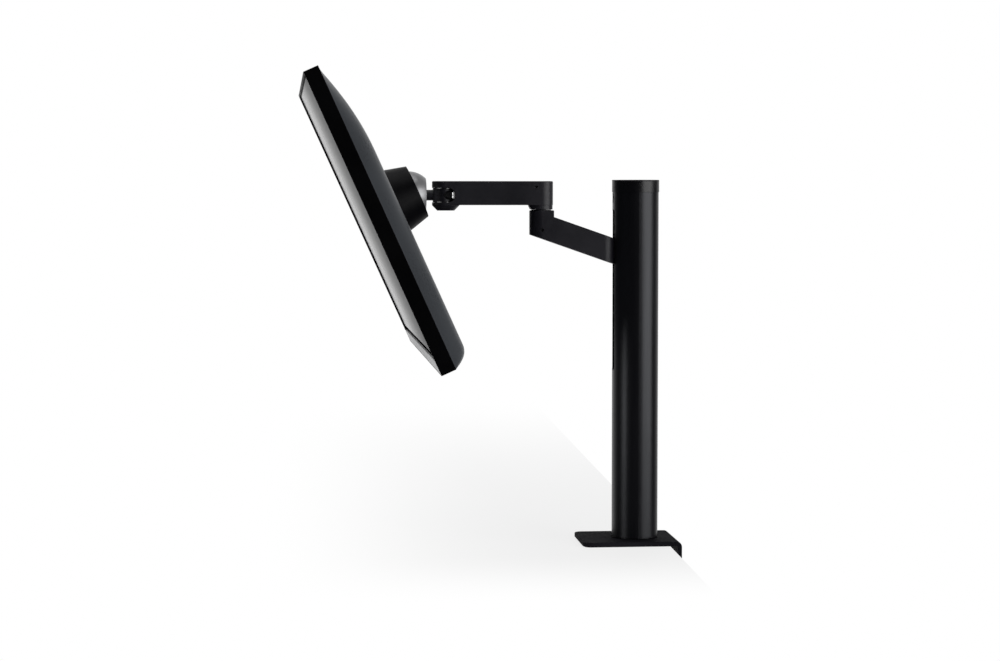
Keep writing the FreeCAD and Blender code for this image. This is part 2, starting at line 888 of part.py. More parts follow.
def make_rail():
    rail = new_body("guide_rail")
    top = "post_top - cap_plug - 2"
    prism(
        rail,
        "XY",
        SEAT_TOP,
        top,
        rectangle("-rail_half_width", "rail_front", "rail_half_width", "rail_back"),
    )
    soften(rail, "Chamfer", "1", lambda e: runs_along(e, "Z"))
    prism(
        rail,
        "XZ",
        "rail_front - 1",
        "rail_back + 1",
        *[circle("0", z, "rail_screw_radius + face_gap") for z in RAIL_SCREWS],
        cut=True,
    )
    prism(
        rail,
        "XZ",
        "rail_front - 1",
        "rail_front + rail_screw_sink",
        *[circle("0", z, "rail_screw_head + face_gap") for z in RAIL_SCREWS],
        cut=True,
    )
    bolts(
        "rail_screws",
        "XZ",
        "rail_front + rail_screw_sink",
        [("0", z) for z in RAIL_SCREWS],
        "post_radius - 1.4",
        "rail_screw_radius",
        "rail_screw_head",
        "2.6",
        "rail_screw_radius * 0.8",
        outward=-1,
    )
    bumpers = new_body("travel_bumpers")
    near = "rail_front - bumper_depth"
    for low in ("slot_top", "slot_bottom + 1.5"):
        outline = rectangle("-rail_half_width", near, "rail_half_width", "rail_front")
        prism(bumpers, "XY", low, f"{low} + bumper_height", outline)


def make_post_top():
    cap = new_body("top_cap")
    wide = "post_radius + cap_overhang"
    plug = f"{POST_BORE} - face_gap"
    spin(
        cap,
        "Z",
        ("0", "post_top - cap_plug + 5"),
        (f"{plug} - 2.5", "post_top - cap_plug + 5"),
        (f"{plug} - 2.5", "post_top - cap_plug"),
        (plug, "post_top - cap_plug"),
        (plug, "post_top"),
        (wide, "post_top"),
        (wide, "post_top + cap_skirt"),
        ("0", "post_top + cap_skirt"),
    )
    half = "stop_radius + 2"
    notch = rectangle(f"-({half})", f"-{POST_BORE} - 1", half, f"-{POST_BORE} + 4.5")
    prism(cap, "XY", "post_top - cap_plug - 1", "post_top", notch, cut=True)
    disc = new_body("cap_disc")
    spin(
        disc,
        "Z",
        ("0", "post_top + cap_skirt"),
        (wide, "post_top + cap_skirt"),
        (wide, f"{CAP_TOP} - 0.4"),
        (f"{wide} - 0.4", CAP_TOP),
        ("0", CAP_TOP),
    )
    stop = new_body("stop_screw")
    spin(
        stop,
        "Y",
        ("0", "-post_radius + 1.2"),
        ("stop_radius - 1", "-post_radius + 1.2"),
        ("stop_radius", "-post_radius + 2.0"),
        ("stop_radius", f"-{POST_BORE} + 1"),
        ("stop_radius + 0.8", f"-{POST_BORE} + 1.2"),
        ("stop_radius + 0.8", f"-{POST_BORE} + 4"),
        ("0", f"-{POST_BORE} + 4"),
    )
    place(stop, z="stop_height")
    prism(
        stop,
        "XZ",
        "-post_radius + 1",
        "-post_radius + 3.2",
        regular("0", "0", "stop_radius * 0.5", 6),
        cut=True,
    )


def make_gas_spring():
    cylinder = new_body("gas_spring_cylinder")
    base = f"{SEAT_TOP} + 6"
    bore = "spring_radius - spring_wall"
    spin(
        cylinder,
        "Z",
        ("0", base),
        ("spring_radius", base),
        ("spring_radius", "spring_top - 1"),
        ("spring_radius - 1", "spring_top"),
        ("rod_radius + run_gap", "spring_top"),
        ("rod_radius + run_gap", "spring_top - spring_gland"),
        (bore, "spring_top - spring_gland"),
        (bore, f"{base} + spring_floor"),
        ("0", f"{base} + spring_floor"),
    )
    rod = new_body("gas_spring_rod")
    shoulder = "piston_bottom + piston_height"
    spin(
        rod,
        "Z",
        ("0", "piston_bottom"),
        (f"{bore} - run_gap", "piston_bottom"),
        (f"{bore} - run_gap", shoulder),
        ("rod_radius", shoulder),
        ("rod_radius", "carriage_bottom + 10"),
        ("0", "carriage_bottom + 10"),
    )


# ---------------------------------------------------------------- carriage and lower arm


def make_carriage():
    block = new_body("carriage_block")
    half = "carriage_half_width"
    outline = rectangle(f"-{half}", "-carriage_front", half, "carriage_back")
    prism(block, "XY", "carriage_bottom", CARRIAGE_TOP, outline)
    soften(block, "Chamfer", "2", lambda e: runs_along(e, "Z"))
    prism(
        block,
        "XY",
        "carriage_bottom - 1",
        "carriage_bottom + 10",
        circle("0", "0", "rod_radius + seat_gap"),
        cut=True,
    )
    prism(
        block,
        "XZ",
        "-carriage_front - 1",
        "carriage_back + 1",
        *[circle("0", z, "arm_screw_radius + face_gap") for z in ARM_SCREWS],
        cut=True,
    )
    prism(
        block,
        "XZ",
        "carriage_back - 6",
        "carriage_back + 1",
        *[circle("0", z, "arm_screw_head + face_gap") for z in ARM_SCREWS],
        cut=True,
    )
    glides = new_body("glide_pads")
    inner = "(rail_half_width + glide_side_gap)"
    outer = "(carriage_half_width - 1)"
    back = "carriage_back + glide_depth"
    for low in ("carriage_bottom + 1", f"{CARRIAGE_TOP} - 1 - glide_height"):
        prism(
            glides,
            "XY",
            low,
            f"{low} + glide_height",
            rectangle(inner, "carriage_back", outer, back),
            rectangle(f"-{outer}", "carriage_back", f"-{inner}", back),
        )
    bolts(
        "arm_screws",
        "XZ",
        "carriage_back - 6",
        [("0", z) for z in ARM_SCREWS],
        "-carriage_front - 9",
        "arm_screw_radius",
        "arm_screw_head",
        "5",
        "arm_screw_radius * 0.9",
    )


def below_slope():
    """Outline, seen from the side, of all that lies under the lower arm's sloping underside."""
    low = "lower_arm_top - barrel_height + tan(arm_slope) * 4"
    far = f"{low} - tan(arm_slope) * ({BARREL_FRONT} + 4 - 2)"
    return polygon(
        (f"-{BARREL_FRONT} - 4", low),
        (f"-{BARREL_FRONT} - 4", "lower_arm_top - 200"),
        ("-2", "lower_arm_top - 200"),
        ("-2", far),
    )


def make_lower_arm():
    body = new_body("lower_arm")
    deep = "lower_arm_top - barrel_height - tan(arm_slope) * elbow_reach - 10"
    outline = oval("-elbow_reach", "-arm_end_reach", "arm_half_width")
    prism(body, "XY", deep, "lower_arm_top", outline)
    wide = "arm_half_width + 2"
    prism(body, "YZ", f"-({wide})", wide, below_slope(), cut=True)
    shoulder = "lower_arm_top - shoulder_drop"
    prism(
        body,
        "YZ",
        f"-({wide})",
        wide,
        polygon(
            (f"-{BARREL_BACK}", shoulder),
            ("-2", f"{shoulder} - tan(arm_slope) * ({BARREL_BACK} - 2)"),
            ("-2", "lower_arm_top + 2"),
            (f"-{BARREL_BACK}", "lower_arm_top + 2"),
        ),
        cut=True,
    )
    prism(
        body,
        "XY",
        "tongue_bottom",
        "tongue_top",
        rectangle("-tongue_half_width", "-arm_end_reach", "tongue_half_width", "-carriage_front"),
    )
    prism(
        body,
        "XZ",
        "-carriage_front - 10",
        "-carriage_front + 1",
        *[circle("0", z, "arm_screw_radius + seat_gap") for z in ARM_SCREWS],
        cut=True,
    )
    bush = "elbow_bore + elbow_bush_wall + seat_gap"
    at_elbow = ("0", "-elbow_reach")
    bore = circle(*at_elbow, bush)
    prism(body, "XY", "elbow_pocket_top - 1", "lower_arm_top + 1", bore, cut=True)
    prism(
        body,
        "XY",
        "lower_arm_top - 1.5",
        "lower_arm_top + 1",
        circle(*at_elbow, "elbow_bush_flange + seat_gap"),
        cut=True,
    )
    prism(
        body,
        "XY",
        "lower_arm_top - barrel_height - 20",
        "elbow_pocket_top",
        circle(*at_elbow, "elbow_pocket_radius"),
        cut=True,
    )
    prism(
        body,
        "YZ",
        "elbow_pocket_radius - 2",
        "arm_half_width + 1",
        circle("-arm_hole_reach", "arm_hole_height", "arm_hole_radius"),
        cut=True,
    )
    top = value("lower_arm_top")
    rim = value("arm_half_width") * 2
    soften(body, "Chamfer", "0.7", lambda e: lies_at(e, "Z", top) and spans(e, "X") > rim - 2)


def make_elbow_parts():
    bushes = new_body("elbow_bushes")
    outer = "elbow_bore + elbow_bush_wall"
    bore = "elbow_bore + run_gap"
    flange_low = "lower_arm_top - 1.5"
    spin(
        bushes,
        "Z",
        (bore, f"{flange_low} - elbow_bush_height"),
        (outer, f"{flange_low} - elbow_bush_height"),
        (outer, flange_low),
        ("elbow_bush_flange", flange_low),
        ("elbow_bush_flange", "lower_arm_top"),
        (bore, "lower_arm_top"),
    )
    spin(
        bushes,
        "Z",
        *ring(bore, outer, "elbow_pocket_top + 0.1", "elbow_pocket_top + elbow_bush_height - 2"),
    )
    place(bushes, y="-elbow_reach")
    washer = new_body("elbow_washer")
    high = "lower_arm_top + elbow_washer"
    spin(washer, "Z", *ring("elbow_bore + 0.3", "elbow_washer_radius", "lower_arm_top", high))
    place(washer, y="-elbow_reach")
    cover = new_body("elbow_cover")
    prism(
        cover,
        "XY",
        "lower_arm_top - barrel_height - 20",
        "elbow_pocket_top - elbow_nut_height - 3.5",
        circle("0", "-elbow_reach", "elbow_pocket_radius - seat_gap"),
    )
    prism(cover, "YZ", "-arm_half_width", "arm_half_width", below_slope(), cut=True)
    screw = new_body("friction_screw")
    prism(
        screw,
        "YZ",
        "elbow_pocket_radius + 0.2",
        "arm_half_width - 1.6",
        circle("-arm_hole_reach", "arm_hole_height", "arm_hole_radius - seat_gap"),
    )
    prism(
        screw,
        "YZ",
        "arm_half_width - 3",
        "arm_half_width",
        regular("-arm_hole_reach", "arm_hole_height", "arm_hole_radius * 0.55", 6),
        cut=True,
    )


# ---------------------------------------------------------------- upper arm


def make_upper_arm():
    body = new_body("upper_arm")
    outline = oval("-swivel_reach", "-elbow_reach", "arm_half_width + 0.15")
    prism(body, "XY", UPPER_BOTTOM, UPPER_TOP, outline)
    prism(
        body,
        "XY",
        f"{UPPER_BOTTOM} - head_boss_height",
        UPPER_BOTTOM,
        oval("-swivel_reach", "-swivel_reach + head_boss_length", "arm_half_width"),
    )
    low = value(f"{UPPER_BOTTOM} - head_boss_height")
    soften(body, "Chamfer", "head_boss_slope", lambda e: lies_at(e, "Z", low))
    boss_end = "-elbow_reach - elbow_boss_ramp"
    boss = oval(boss_end, "-elbow_reach", "elbow_boss_radius")
    prism(body, "XY", ELBOW_BOSS_FACE, UPPER_BOTTOM, boss)
    wide = "arm_half_width + 2"
    prism(
        body,
        "YZ",
        f"-({wide})",
        wide,
        polygon(
            ("-elbow_reach - elbow_boss_foot", f"{ELBOW_BOSS_FACE} - 1"),
            ("-elbow_reach - elbow_boss_foot", ELBOW_BOSS_FACE),
            (f"{boss_end} - elbow_boss_radius", UPPER_BOTTOM),
            (f"{boss_end} - elbow_boss_radius - 1", UPPER_BOTTOM),
            (f"{boss_end} - elbow_boss_radius - 1", f"{ELBOW_BOSS_FACE} - 1"),
        ),
        cut=True,
    )
    centre_y, centre_z = "-window_end_reach - " + WINDOW_RADIUS, NECK_HEIGHT
    prism(
        body,
        "YZ",
        f"-({wide})",
        wide,
        circle(centre_y, centre_z, WINDOW_RADIUS),
        cut=True,
    )
    prism(
        body,
        "YZ",
        f"-({wide})",
        wide,
        rectangle("-swivel_reach - arm_half_width - 3", WINDOW_BOTTOM, centre_y, WINDOW_TOP),
        cut=True,
    )
    at_swivel = ("0", "-swivel_reach")
    pin = "swivel_pin_radius + seat_gap"
    prism(
        body,
        "XY",
        f"{UPPER_BOTTOM} - head_boss_height - 1",
        f"{UPPER_TOP} - 3",
        circle(*at_swivel, pin),
        cut=True,
    )
    prism(
        body,
        "XY",
        f"{UPPER_BOTTOM} - head_boss_height - 1",
        f"{UPPER_BOTTOM} - head_boss_height + swivel_head + 0.4",
        circle(*at_swivel, "swivel_head_radius + seat_gap"),
        cut=True,
    )
    prism(
        body,
        "XY",
        WINDOW_BOTTOM,
        WINDOW_TOP,
        circle(*at_swivel, "head_washer_radius + 0.5"),
        cut=True,
    )
    prism(
        body,
        "XY",
        f"{ELBOW_BOSS_FACE} - 1",
        f"{UPPER_BOTTOM} + shaft_insert",
        circle("0", "-elbow_reach", "elbow_bore + seat_gap"),
        cut=True,
    )
    prism(
        body,
        "YZ",
        "2",
        "arm_half_width + 1",
        circle("-shaft_hole_reach", f"{UPPER_TOP} - shaft_hole_below_top", "shaft_hole_radius"),
        cut=True,
    )
    top = value(UPPER_TOP)
    soften(body, "Chamfer", "0.8", lambda e: lies_at(e, "Z", top) and e.Length > 20)


def make_upper_hardware():
    shaft = new_body("elbow_shaft")
    nut_top = "elbow_pocket_top - 1.2"
    nut_low = f"{nut_top} - elbow_nut_height"
    spin(
        shaft,
        "Z",
        ("0", f"{nut_low} - 0.8"),
        ("elbow_bore - 1", f"{nut_low} - 0.8"),
        ("elbow_bore - 1", nut_top),
        ("elbow_bore", nut_top),
        ("elbow_bore", f"{UPPER_BOTTOM} + shaft_insert"),
        ("0", f"{UPPER_BOTTOM} + shaft_insert"),
    )
    place(shaft, y="-elbow_reach")
    nut = new_body("elbow_nut")
    prism(
        nut,
        "XY",
        nut_low,
        nut_top,
        regular("0", "0", "elbow_nut_radius", 6),
        circle("0", "0", "elbow_bore - 1 + seat_gap"),
    )
    flange_top = f"{nut_top} + 1"
    spin(nut, "Z", *ring("elbow_bore + seat_gap", "elbow_nut_radius + 1", nut_top, flange_top))
    place(nut, y="-elbow_reach")
    screw = new_body("shaft_set_screw")
    level = f"{UPPER_TOP} - shaft_hole_below_top"
    spot = ("-shaft_hole_reach", level)
    prism(screw, "YZ", "2.1", "arm_half_width - 1.2", circle(*spot, "shaft_hole_radius - seat_gap"))
    prism(
        screw,
        "YZ",
        "arm_half_width - 3",
        "arm_half_width",
        regular(*spot, "shaft_hole_radius * 0.55", 6),
        cut=True,
    )
    pin = new_body("swivel_pin")
    head_low = f"{UPPER_BOTTOM} - head_boss_height + 0.4"
    head_high = f"{head_low} + swivel_head"
    prism(pin, "XY", head_low, head_high, circle("0", "0", "swivel_head_radius"))
    prism(pin, "XY", head_high, f"{UPPER_TOP} - 3.5", circle("0", "0", "swivel_pin_radius"))
    prism(pin, "XY", head_low, f"{head_low} + 2.2", regular("0", "0", "3", 6), cut=True)
    place(pin, y="-swivel_reach")
    washers = new_body("swivel_head_washers")
    bore = "swivel_pin_radius + seat_gap"
    for low in (WINDOW_BOTTOM, f"{WINDOW_TOP} - head_washer"):
        spin(washers, "Z", *ring(bore, "head_washer_radius", low, f"{low} + head_washer"))
    place(washers, y="-swivel_reach")


# ---------------------------------------------------------------- head


def make_head():
    knuckle = new_body("neck_knuckle")
    spin(
        knuckle,
        "Z",
        ("0", KNUCKLE_BOTTOM),
        ("knuckle_flange_radius", KNUCKLE_BOTTOM),
        ("knuckle_flange_radius", f"{NECK_HEIGHT} - knuckle_waist_half"),
        ("knuckle_radius", f"{NECK_HEIGHT} - knuckle_waist_half"),
        ("knuckle_radius", f"{NECK_HEIGHT} - knuckle_rib_half"),
        ("knuckle_rib_radius", f"{NECK_HEIGHT} - knuckle_rib_half"),
        ("knuckle_rib_radius", f"{NECK_HEIGHT} + knuckle_rib_half"),
        ("knuckle_radius", f"{NECK_HEIGHT} + knuckle_rib_half"),
        ("knuckle_radius", f"{NECK_HEIGHT} + knuckle_waist_half"),
        ("knuckle_flange_radius", f"{NECK_HEIGHT} + knuckle_waist_half"),
        ("knuckle_flange_radius", KNUCKLE_TOP),
        ("0", KNUCKLE_TOP),
    )
    block = rectangle("-knuckle_block_half", "-knuckle_front", "knuckle_block_half", "0")
    prism(knuckle, "XY", KNUCKLE_BOTTOM, KNUCKLE_TOP, block)
    front = value("-knuckle_front")
    soften(knuckle, "Fillet", "2", lambda e: runs_along(e, "Z") and lies_at(e, "Y", front))
    flat = "-(tilt_reach - swivel_reach - dome_flat)"
    collar = f"{flat} - dome_wall - 4"
    prism(knuckle, "XZ", flat, "-knuckle_front + 1", circle("0", NECK_HEIGHT, "neck_radius"))
    prism(knuckle, "XZ", collar, flat, circle("0", NECK_HEIGHT, "neck_radius - 1"))
    disc = circle("0", NECK_HEIGHT, "fork_screw_circle + 3")
    prism(knuckle, "XZ", collar, f"{flat} - dome_wall", disc)
    prism(
        knuckle,
        "XY",
        f"{KNUCKLE_BOTTOM} - 1",
        f"{KNUCKLE_TOP} + 1",
        circle("0", "0", "swivel_pin_radius + run_gap"),
        cut=True,
    )
    washer_room = circle("0", "0", "head_washer_radius + 0.3")
    low_end = f"{WINDOW_BOTTOM} + head_washer + face_gap"
    high_end = f"{WINDOW_TOP} - head_washer - face_gap"
    prism(knuckle, "XY", f"{KNUCKLE_BOTTOM} - 1", low_end, washer_room, cut=True)
    prism(knuckle, "XY", high_end, f"{KNUCKLE_TOP} + 1", washer_room, cut=True)
    prism(
        knuckle,
        "YZ",
        "tension_facet",
        "knuckle_rib_radius + 1",
        circle("tension_offset", NECK_HEIGHT, "tension_head_radius + 0.5"),
        cut=True,
    )
    prism(
        knuckle,
        "YZ",
        "tension_tip - 1",
        "tension_facet + 1",
        circle("tension_offset", NECK_HEIGHT, "tension_shank_radius + face_gap"),
        cut=True,
    )
    prism(
        knuckle,
        "XZ",
        f"{collar} - 1",
        f"{flat} - dome_wall + 1",
        *[circle(x, z, "fork_screw_radius + face_gap") for x, z in fork_screw_places(NECK_HEIGHT)],
        cut=True,
    )
    place(knuckle, y="-swivel_reach")
    screw = new_body("tension_screw")
    head_low, head_high = "tension_facet", "tension_facet + tension_head"
    centre = ("tension_offset", NECK_HEIGHT)
    prism(screw, "YZ", "tension_tip", head_low, circle(*centre, "tension_shank_radius"))
    prism(screw, "YZ", head_low, head_high, circle(*centre, "tension_head_radius * 0.62"))
    for lobe in range(3):
        angle = math.radians(60 + 120 * lobe)
        y = f"tension_offset + tension_head_radius * 0.6 * {math.cos(angle):.6f}"
        z = f"{NECK_HEIGHT} + tension_head_radius * 0.6 * {math.sin(angle):.6f}"
        prism(screw, "YZ", head_low, head_high, circle(y, z, "tension_head_radius * 0.4"))
    place(screw, y="-swivel_reach")
    dome = new_body("dome")
    make_dome(dome)


def fork_screw_places(level):
    """Four screws round the neck's collar."""
    return [
        (
            f"fork_screw_circle * {math.cos(math.radians(45 + 90 * n)):.6f}",
            f"{level} + fork_screw_circle * {math.sin(math.radians(45 + 90 * n)):.6f}",
        )
        for n in range(4)
    ]


def make_dome(body):
    """Hollow ball about the tilt axis, with a flat seat for the neck's collar."""
    sketch = new_sketch(body, "XY", "0", [])
    outer, inner = value("dome_radius"), value("dome_radius - dome_wall")
    flat, front = value("dome_flat"), value("-dome_front")
    seat = value("dome_flat - dome_wall")
    hole = value("neck_radius - 1 + face_gap")

    def on(radius, along):
        return Vector(math.sqrt(radius**2 - along**2), along, 0)

    def arc(radius, low, high):
        middle = (low + high) / 2
        return Part.Arc(on(radius, low), on(radius, middle), on(radius, high))

    corners = [
        Part.LineSegment(on(inner, front), on(outer, front)),
        arc(outer, front, flat),
        Part.LineSegment(on(outer, flat), Vector(hole, flat, 0)),
        Part.LineSegment(Vector(hole, flat, 0), Vector(hole, seat, 0)),
        Part.LineSegment(Vector(hole, seat, 0), on(inner, seat)),
        arc(inner, front, seat),
    ]
    for geometry in corners:
        sketch.addGeometry(geometry)
    for number, end, after, after_end in (
        (0, 2, 1, 1),
        (1, 2, 2, 1),
        (2, 2, 3, 1),
        (3, 2, 4, 1),
        (4, 2, 5, 2),
        (0, 1, 5, 1),
    ):
        sketch.addConstraint(Sketcher.Constraint("Coincident", number, end, after, after_end))
    for number, radius in ((1, "dome_radius"), (5, "dome_radius - dome_wall")):
        point_at(sketch, number, 3, "0", "0")
        size = sketch.addConstraint(Sketcher.Constraint("Radius", number, value(radius)))
        bind(sketch, f"Constraints[{size}]", radius)
    for number, end, along in (
        (0, 1, "-dome_front"),
        (0, 2, "-dome_front"),
        (2, 1, "dome_flat"),
        (3, 2, "dome_flat - dome_wall"),
        (4, 2, "dome_flat - dome_wall"),
    ):
        height = sketch.addConstraint(
            Sketcher.Constraint("DistanceY", -1, 1, number, end, value(along))
        )
        bind(sketch, f"Constraints[{height}]", along)
    point_at(sketch, 2, 2, "neck_radius - 1 + face_gap", "dome_flat")
    sketch.addConstraint(Sketcher.Constraint("Vertical", 3))
    turn = body.newObject("PartDesign::Revolution", "dome_turn")
    turn.Profile = sketch
    turn.ReferenceAxis = (sketch, ["V_Axis"])
    turn.Angle = 360
    place(body, y="-tilt_reach", z=NECK_HEIGHT)


def make_fork():
    body = new_body("tilt_fork")
    back = "dome_flat - dome_wall - 4"
    base_low = f"{back} - fork_base"
    outer = "fork_inner + fork_arm"
    prism(
        body,
        "XZ",
        base_low,
        back,
        rectangle(f"-({outer})", "-fork_half_height", outer, "fork_half_height"),
    )
    for side in (-1, 1):
        edges = sorted((f"{side} * fork_inner", f"{side} * ({outer})"), key=value)
        prism(
            body,
            "YZ",
            *edges,
            rectangle("0", "-fork_half_height", base_low, "fork_half_height"),
        )
        prism(body, "YZ", *edges, circle("0", "0", "fork_half_height"))
    prism(
        body,
        "YZ",
        "-fork_inner - fork_arm - 1",
        "fork_inner + fork_arm + 1",
        circle("0", "0", "tilt_shaft_radius + run_gap"),
        cut=True,
    )
    prism(
        body,
        "XZ",
        f"{base_low} - 1",
        f"{back} + 1",
        *[circle(x, z, "fork_screw_radius + seat_gap") for x, z in fork_screw_places("0")],
        cut=True,
    )
    place(body, y="-tilt_reach", z=NECK_HEIGHT)
    screws = bolts(
        "fork_screws",
        "XZ",
        base_low,
        fork_screw_places("0"),
        "dome_flat - dome_wall - 0.4",
        "fork_screw_radius",
        "fork_screw_radius * 1.7",
        "1.8",
        "fork_screw_radius * 0.8",
        outward=-1,
    )
    place(screws, y="-tilt_reach", z=NECK_HEIGHT)


# ---------------------------------------------------------------- tilt group


def make_tilt_group():
    shaft = new_body("tilt_shaft")
    reach = "fork_inner + fork_arm + face_gap"
    spin(
        shaft,
        "X",
        ("0", f"-({reach}) - tilt_head"),
        ("tilt_head_radius - 1", f"-({reach}) - tilt_head"),
        ("tilt_head_radius", f"-({reach}) - tilt_head + 1"),
        ("tilt_head_radius", f"-({reach})"),
        ("tilt_shaft_radius", f"-({reach})"),
        ("tilt_shaft_radius", reach),
        ("tilt_head_radius", reach),
        ("tilt_head_radius", f"{reach} + tilt_head - 1"),
        ("tilt_head_radius - 1", f"{reach} + tilt_head"),
        ("0", f"{reach} + tilt_head"),
    )
    place_on_display(shaft)
    bracket = new_body("tilt_bracket")
    plate_face = "-tilt_plate_face"
    prism(
        bracket,
        "XZ",
        f"-{TILT_PLATE_BACK}",
        plate_face,
        circle("0", "0", "tilt_plate_radius"),
    )
    lug_outer = "fork_inner - tilt_washer - face_gap"
    for side in (-1, 1):
        edges = sorted((f"{side} * ({lug_outer})", f"{side} * ({lug_outer} - tilt_lug)"), key=value)
        prism(bracket, "YZ", *edges, circle("0", "0", "tilt_lug_radius"))
        prism(
            bracket,
            "YZ",
            *edges,
            rectangle(plate_face, "-tilt_lug_radius", "0", "tilt_lug_radius"),
        )
    prism(
        bracket,
        "XZ",
        f"-{MOUNT_BACK} - face_gap",
        f"-{TILT_PLATE_BACK}",
        circle("0", "0", "pivot_radius"),
    )
    prism(
        bracket,
        "XZ",
        f"-{MOUNT_BACK} - face_gap - 1 - pivot_nut - 1",
        f"-{MOUNT_BACK} - face_gap",
        circle("0", "0", "pivot_thread_radius"),
    )
    prism(
        bracket,
        "YZ",
        "-fork_inner",
        "fork_inner",
        circle("0", "0", "tilt_shaft_radius + seat_gap"),
        cut=True,
    )
    place_on_display(bracket)
    washers = new_body("tilt_washers")
    bore = "tilt_shaft_radius + seat_gap"
    for side in (-1, 1):
        ends = (f"{side} * ({lug_outer})", f"{side} * ({lug_outer} + tilt_washer)")
        spin(washers, "X", *ring(bore, "tilt_lug_radius", *sorted(ends, key=value)))
    place_on_display(washers)
    shroud = new_body("shroud")
    base = "-tilt_plate_face + shroud_lip"
    spin(
        shroud,
        "Y",
        ("shroud_rim_radius - shroud_wall", "shroud_rim"),
        ("shroud_rim_radius", "shroud_rim"),
        ("shroud_base_radius", base),
        ("shroud_lip_radius", base),
        ("shroud_lip_radius", "-tilt_plate_face"),
        ("shroud_base_radius - shroud_wall - 1", "-tilt_plate_face"),
        ("shroud_base_radius - shroud_wall", base),
    )
    place_on_display(shroud)
    friction = new_body("pivot_disc")
    back, face = f"-{TILT_PLATE_BACK} - pivot_friction", f"-{TILT_PLATE_BACK}"
    spin(friction, "Y", *ring("pivot_radius + seat_gap", "pivot_disc_radius", back, face))
    place_on_display(friction)
    nut = new_body("pivot_nut")
    nut_face = f"-{MOUNT_BACK} - face_gap"
    prism(
        nut,
        "XZ",
        f"{nut_face} - 1 - pivot_nut",
        f"{nut_face} - 1",
        regular("0", "0", "pivot_nut_radius", 6),
        circle("0", "0", "pivot_thread_radius + seat_gap"),
    )
    prism(
        nut,
        "XZ",
        f"{nut_face} - 1",
        nut_face,
        circle("0", "0", "pivot_nut_radius + 2"),
        circle("0", "0", "pivot_thread_radius + seat_gap"),
    )
    place_on_display(nut)


# ---------------------------------------------------------------- display


def mount_hole_places():
    corners = ((1, 1), (-1, 1), (-1, -1), (1, -1))
    return [(f"{x} * mount_hole", f"{z} * mount_hole") for x, z in corners]


def make_mount():
    plate = new_body("mount_plate")
    prism(
        plate,
        "XZ",
        f"-{MOUNT_BACK}",
        f"-{MOUNT_FACE}",
        rectangle("-mount_half", "-mount_half", "mount_half", "mount_half"),
        circle("0", "0", "pivot_radius + run_gap"),
        *[circle(x, z, "mount_screw_radius + face_gap") for x, z in mount_hole_places()],
    )
    soften(plate, "Fillet", "8", lambda e: runs_along(e, "Y"))
    prism(
        plate,
        "XZ",
        f"-{MOUNT_FACE} - 2",
        f"-{MOUNT_FACE}",
        *[circle(x, z, "mount_screw_head + face_gap") for x, z in mount_hole_places()],
        cut=True,
    )
    place_on_display(plate)
    screws = bolts(
        "mount_screws",
        "XZ",
        f"-{MOUNT_FACE} - 2",
        mount_hole_places(),
        f"-{MOUNT_BACK} - 8",
        "mount_screw_radius",
        "mount_screw_head",
        "1.8",
        "mount_screw_radius * 0.7",
    )
    place_on_display(screws)


def make_chassis():
    body = new_body("chassis")
    side = "display_half_width - frame_wall - 4"
    low, high = f"{DISPLAY_BOTTOM} + frame_wall + 4", f"{DISPLAY_TOP} - frame_wall - 4"
    prism(
        body,
        "XZ",
        f"-{BACKLIGHT_BACK}",
        f"-{CHASSIS_BACK}",
        rectangle(f"-({side})", low, side, high),
    )
    prism(
        body,
        "XZ",
        f"-{CHASSIS_BACK}",
        f"-{MOUNT_BACK}",
        *[circle(x, z, "standoff_radius") for x, z in mount_hole_places()],
    )
    prism(
        body,
        "XZ",
        f"-{MOUNT_BACK} - 9",
        f"-{MOUNT_BACK} + 1",
        *[circle(x, z, "mount_screw_radius + seat_gap") for x, z in mount_hole_places()],
        cut=True,
    )
    for x, z in BOARD_POSTS:
        prism(
            body,
            "XZ",
            f"-{CHASSIS_BACK}",
            f"-{PORT_FACE} - port_depth - board_thick",
            circle(x, z, "3"),
        )
    place_on_display(body)


BOARD_POSTS = [
    ("port_left - 4", "-port_low + 5"),
    ("port_right + 4", "-port_low + 5"),
    ("port_left - 4", "-port_high + 35"),
    ("port_right + 4", "-port_high + 35"),
]


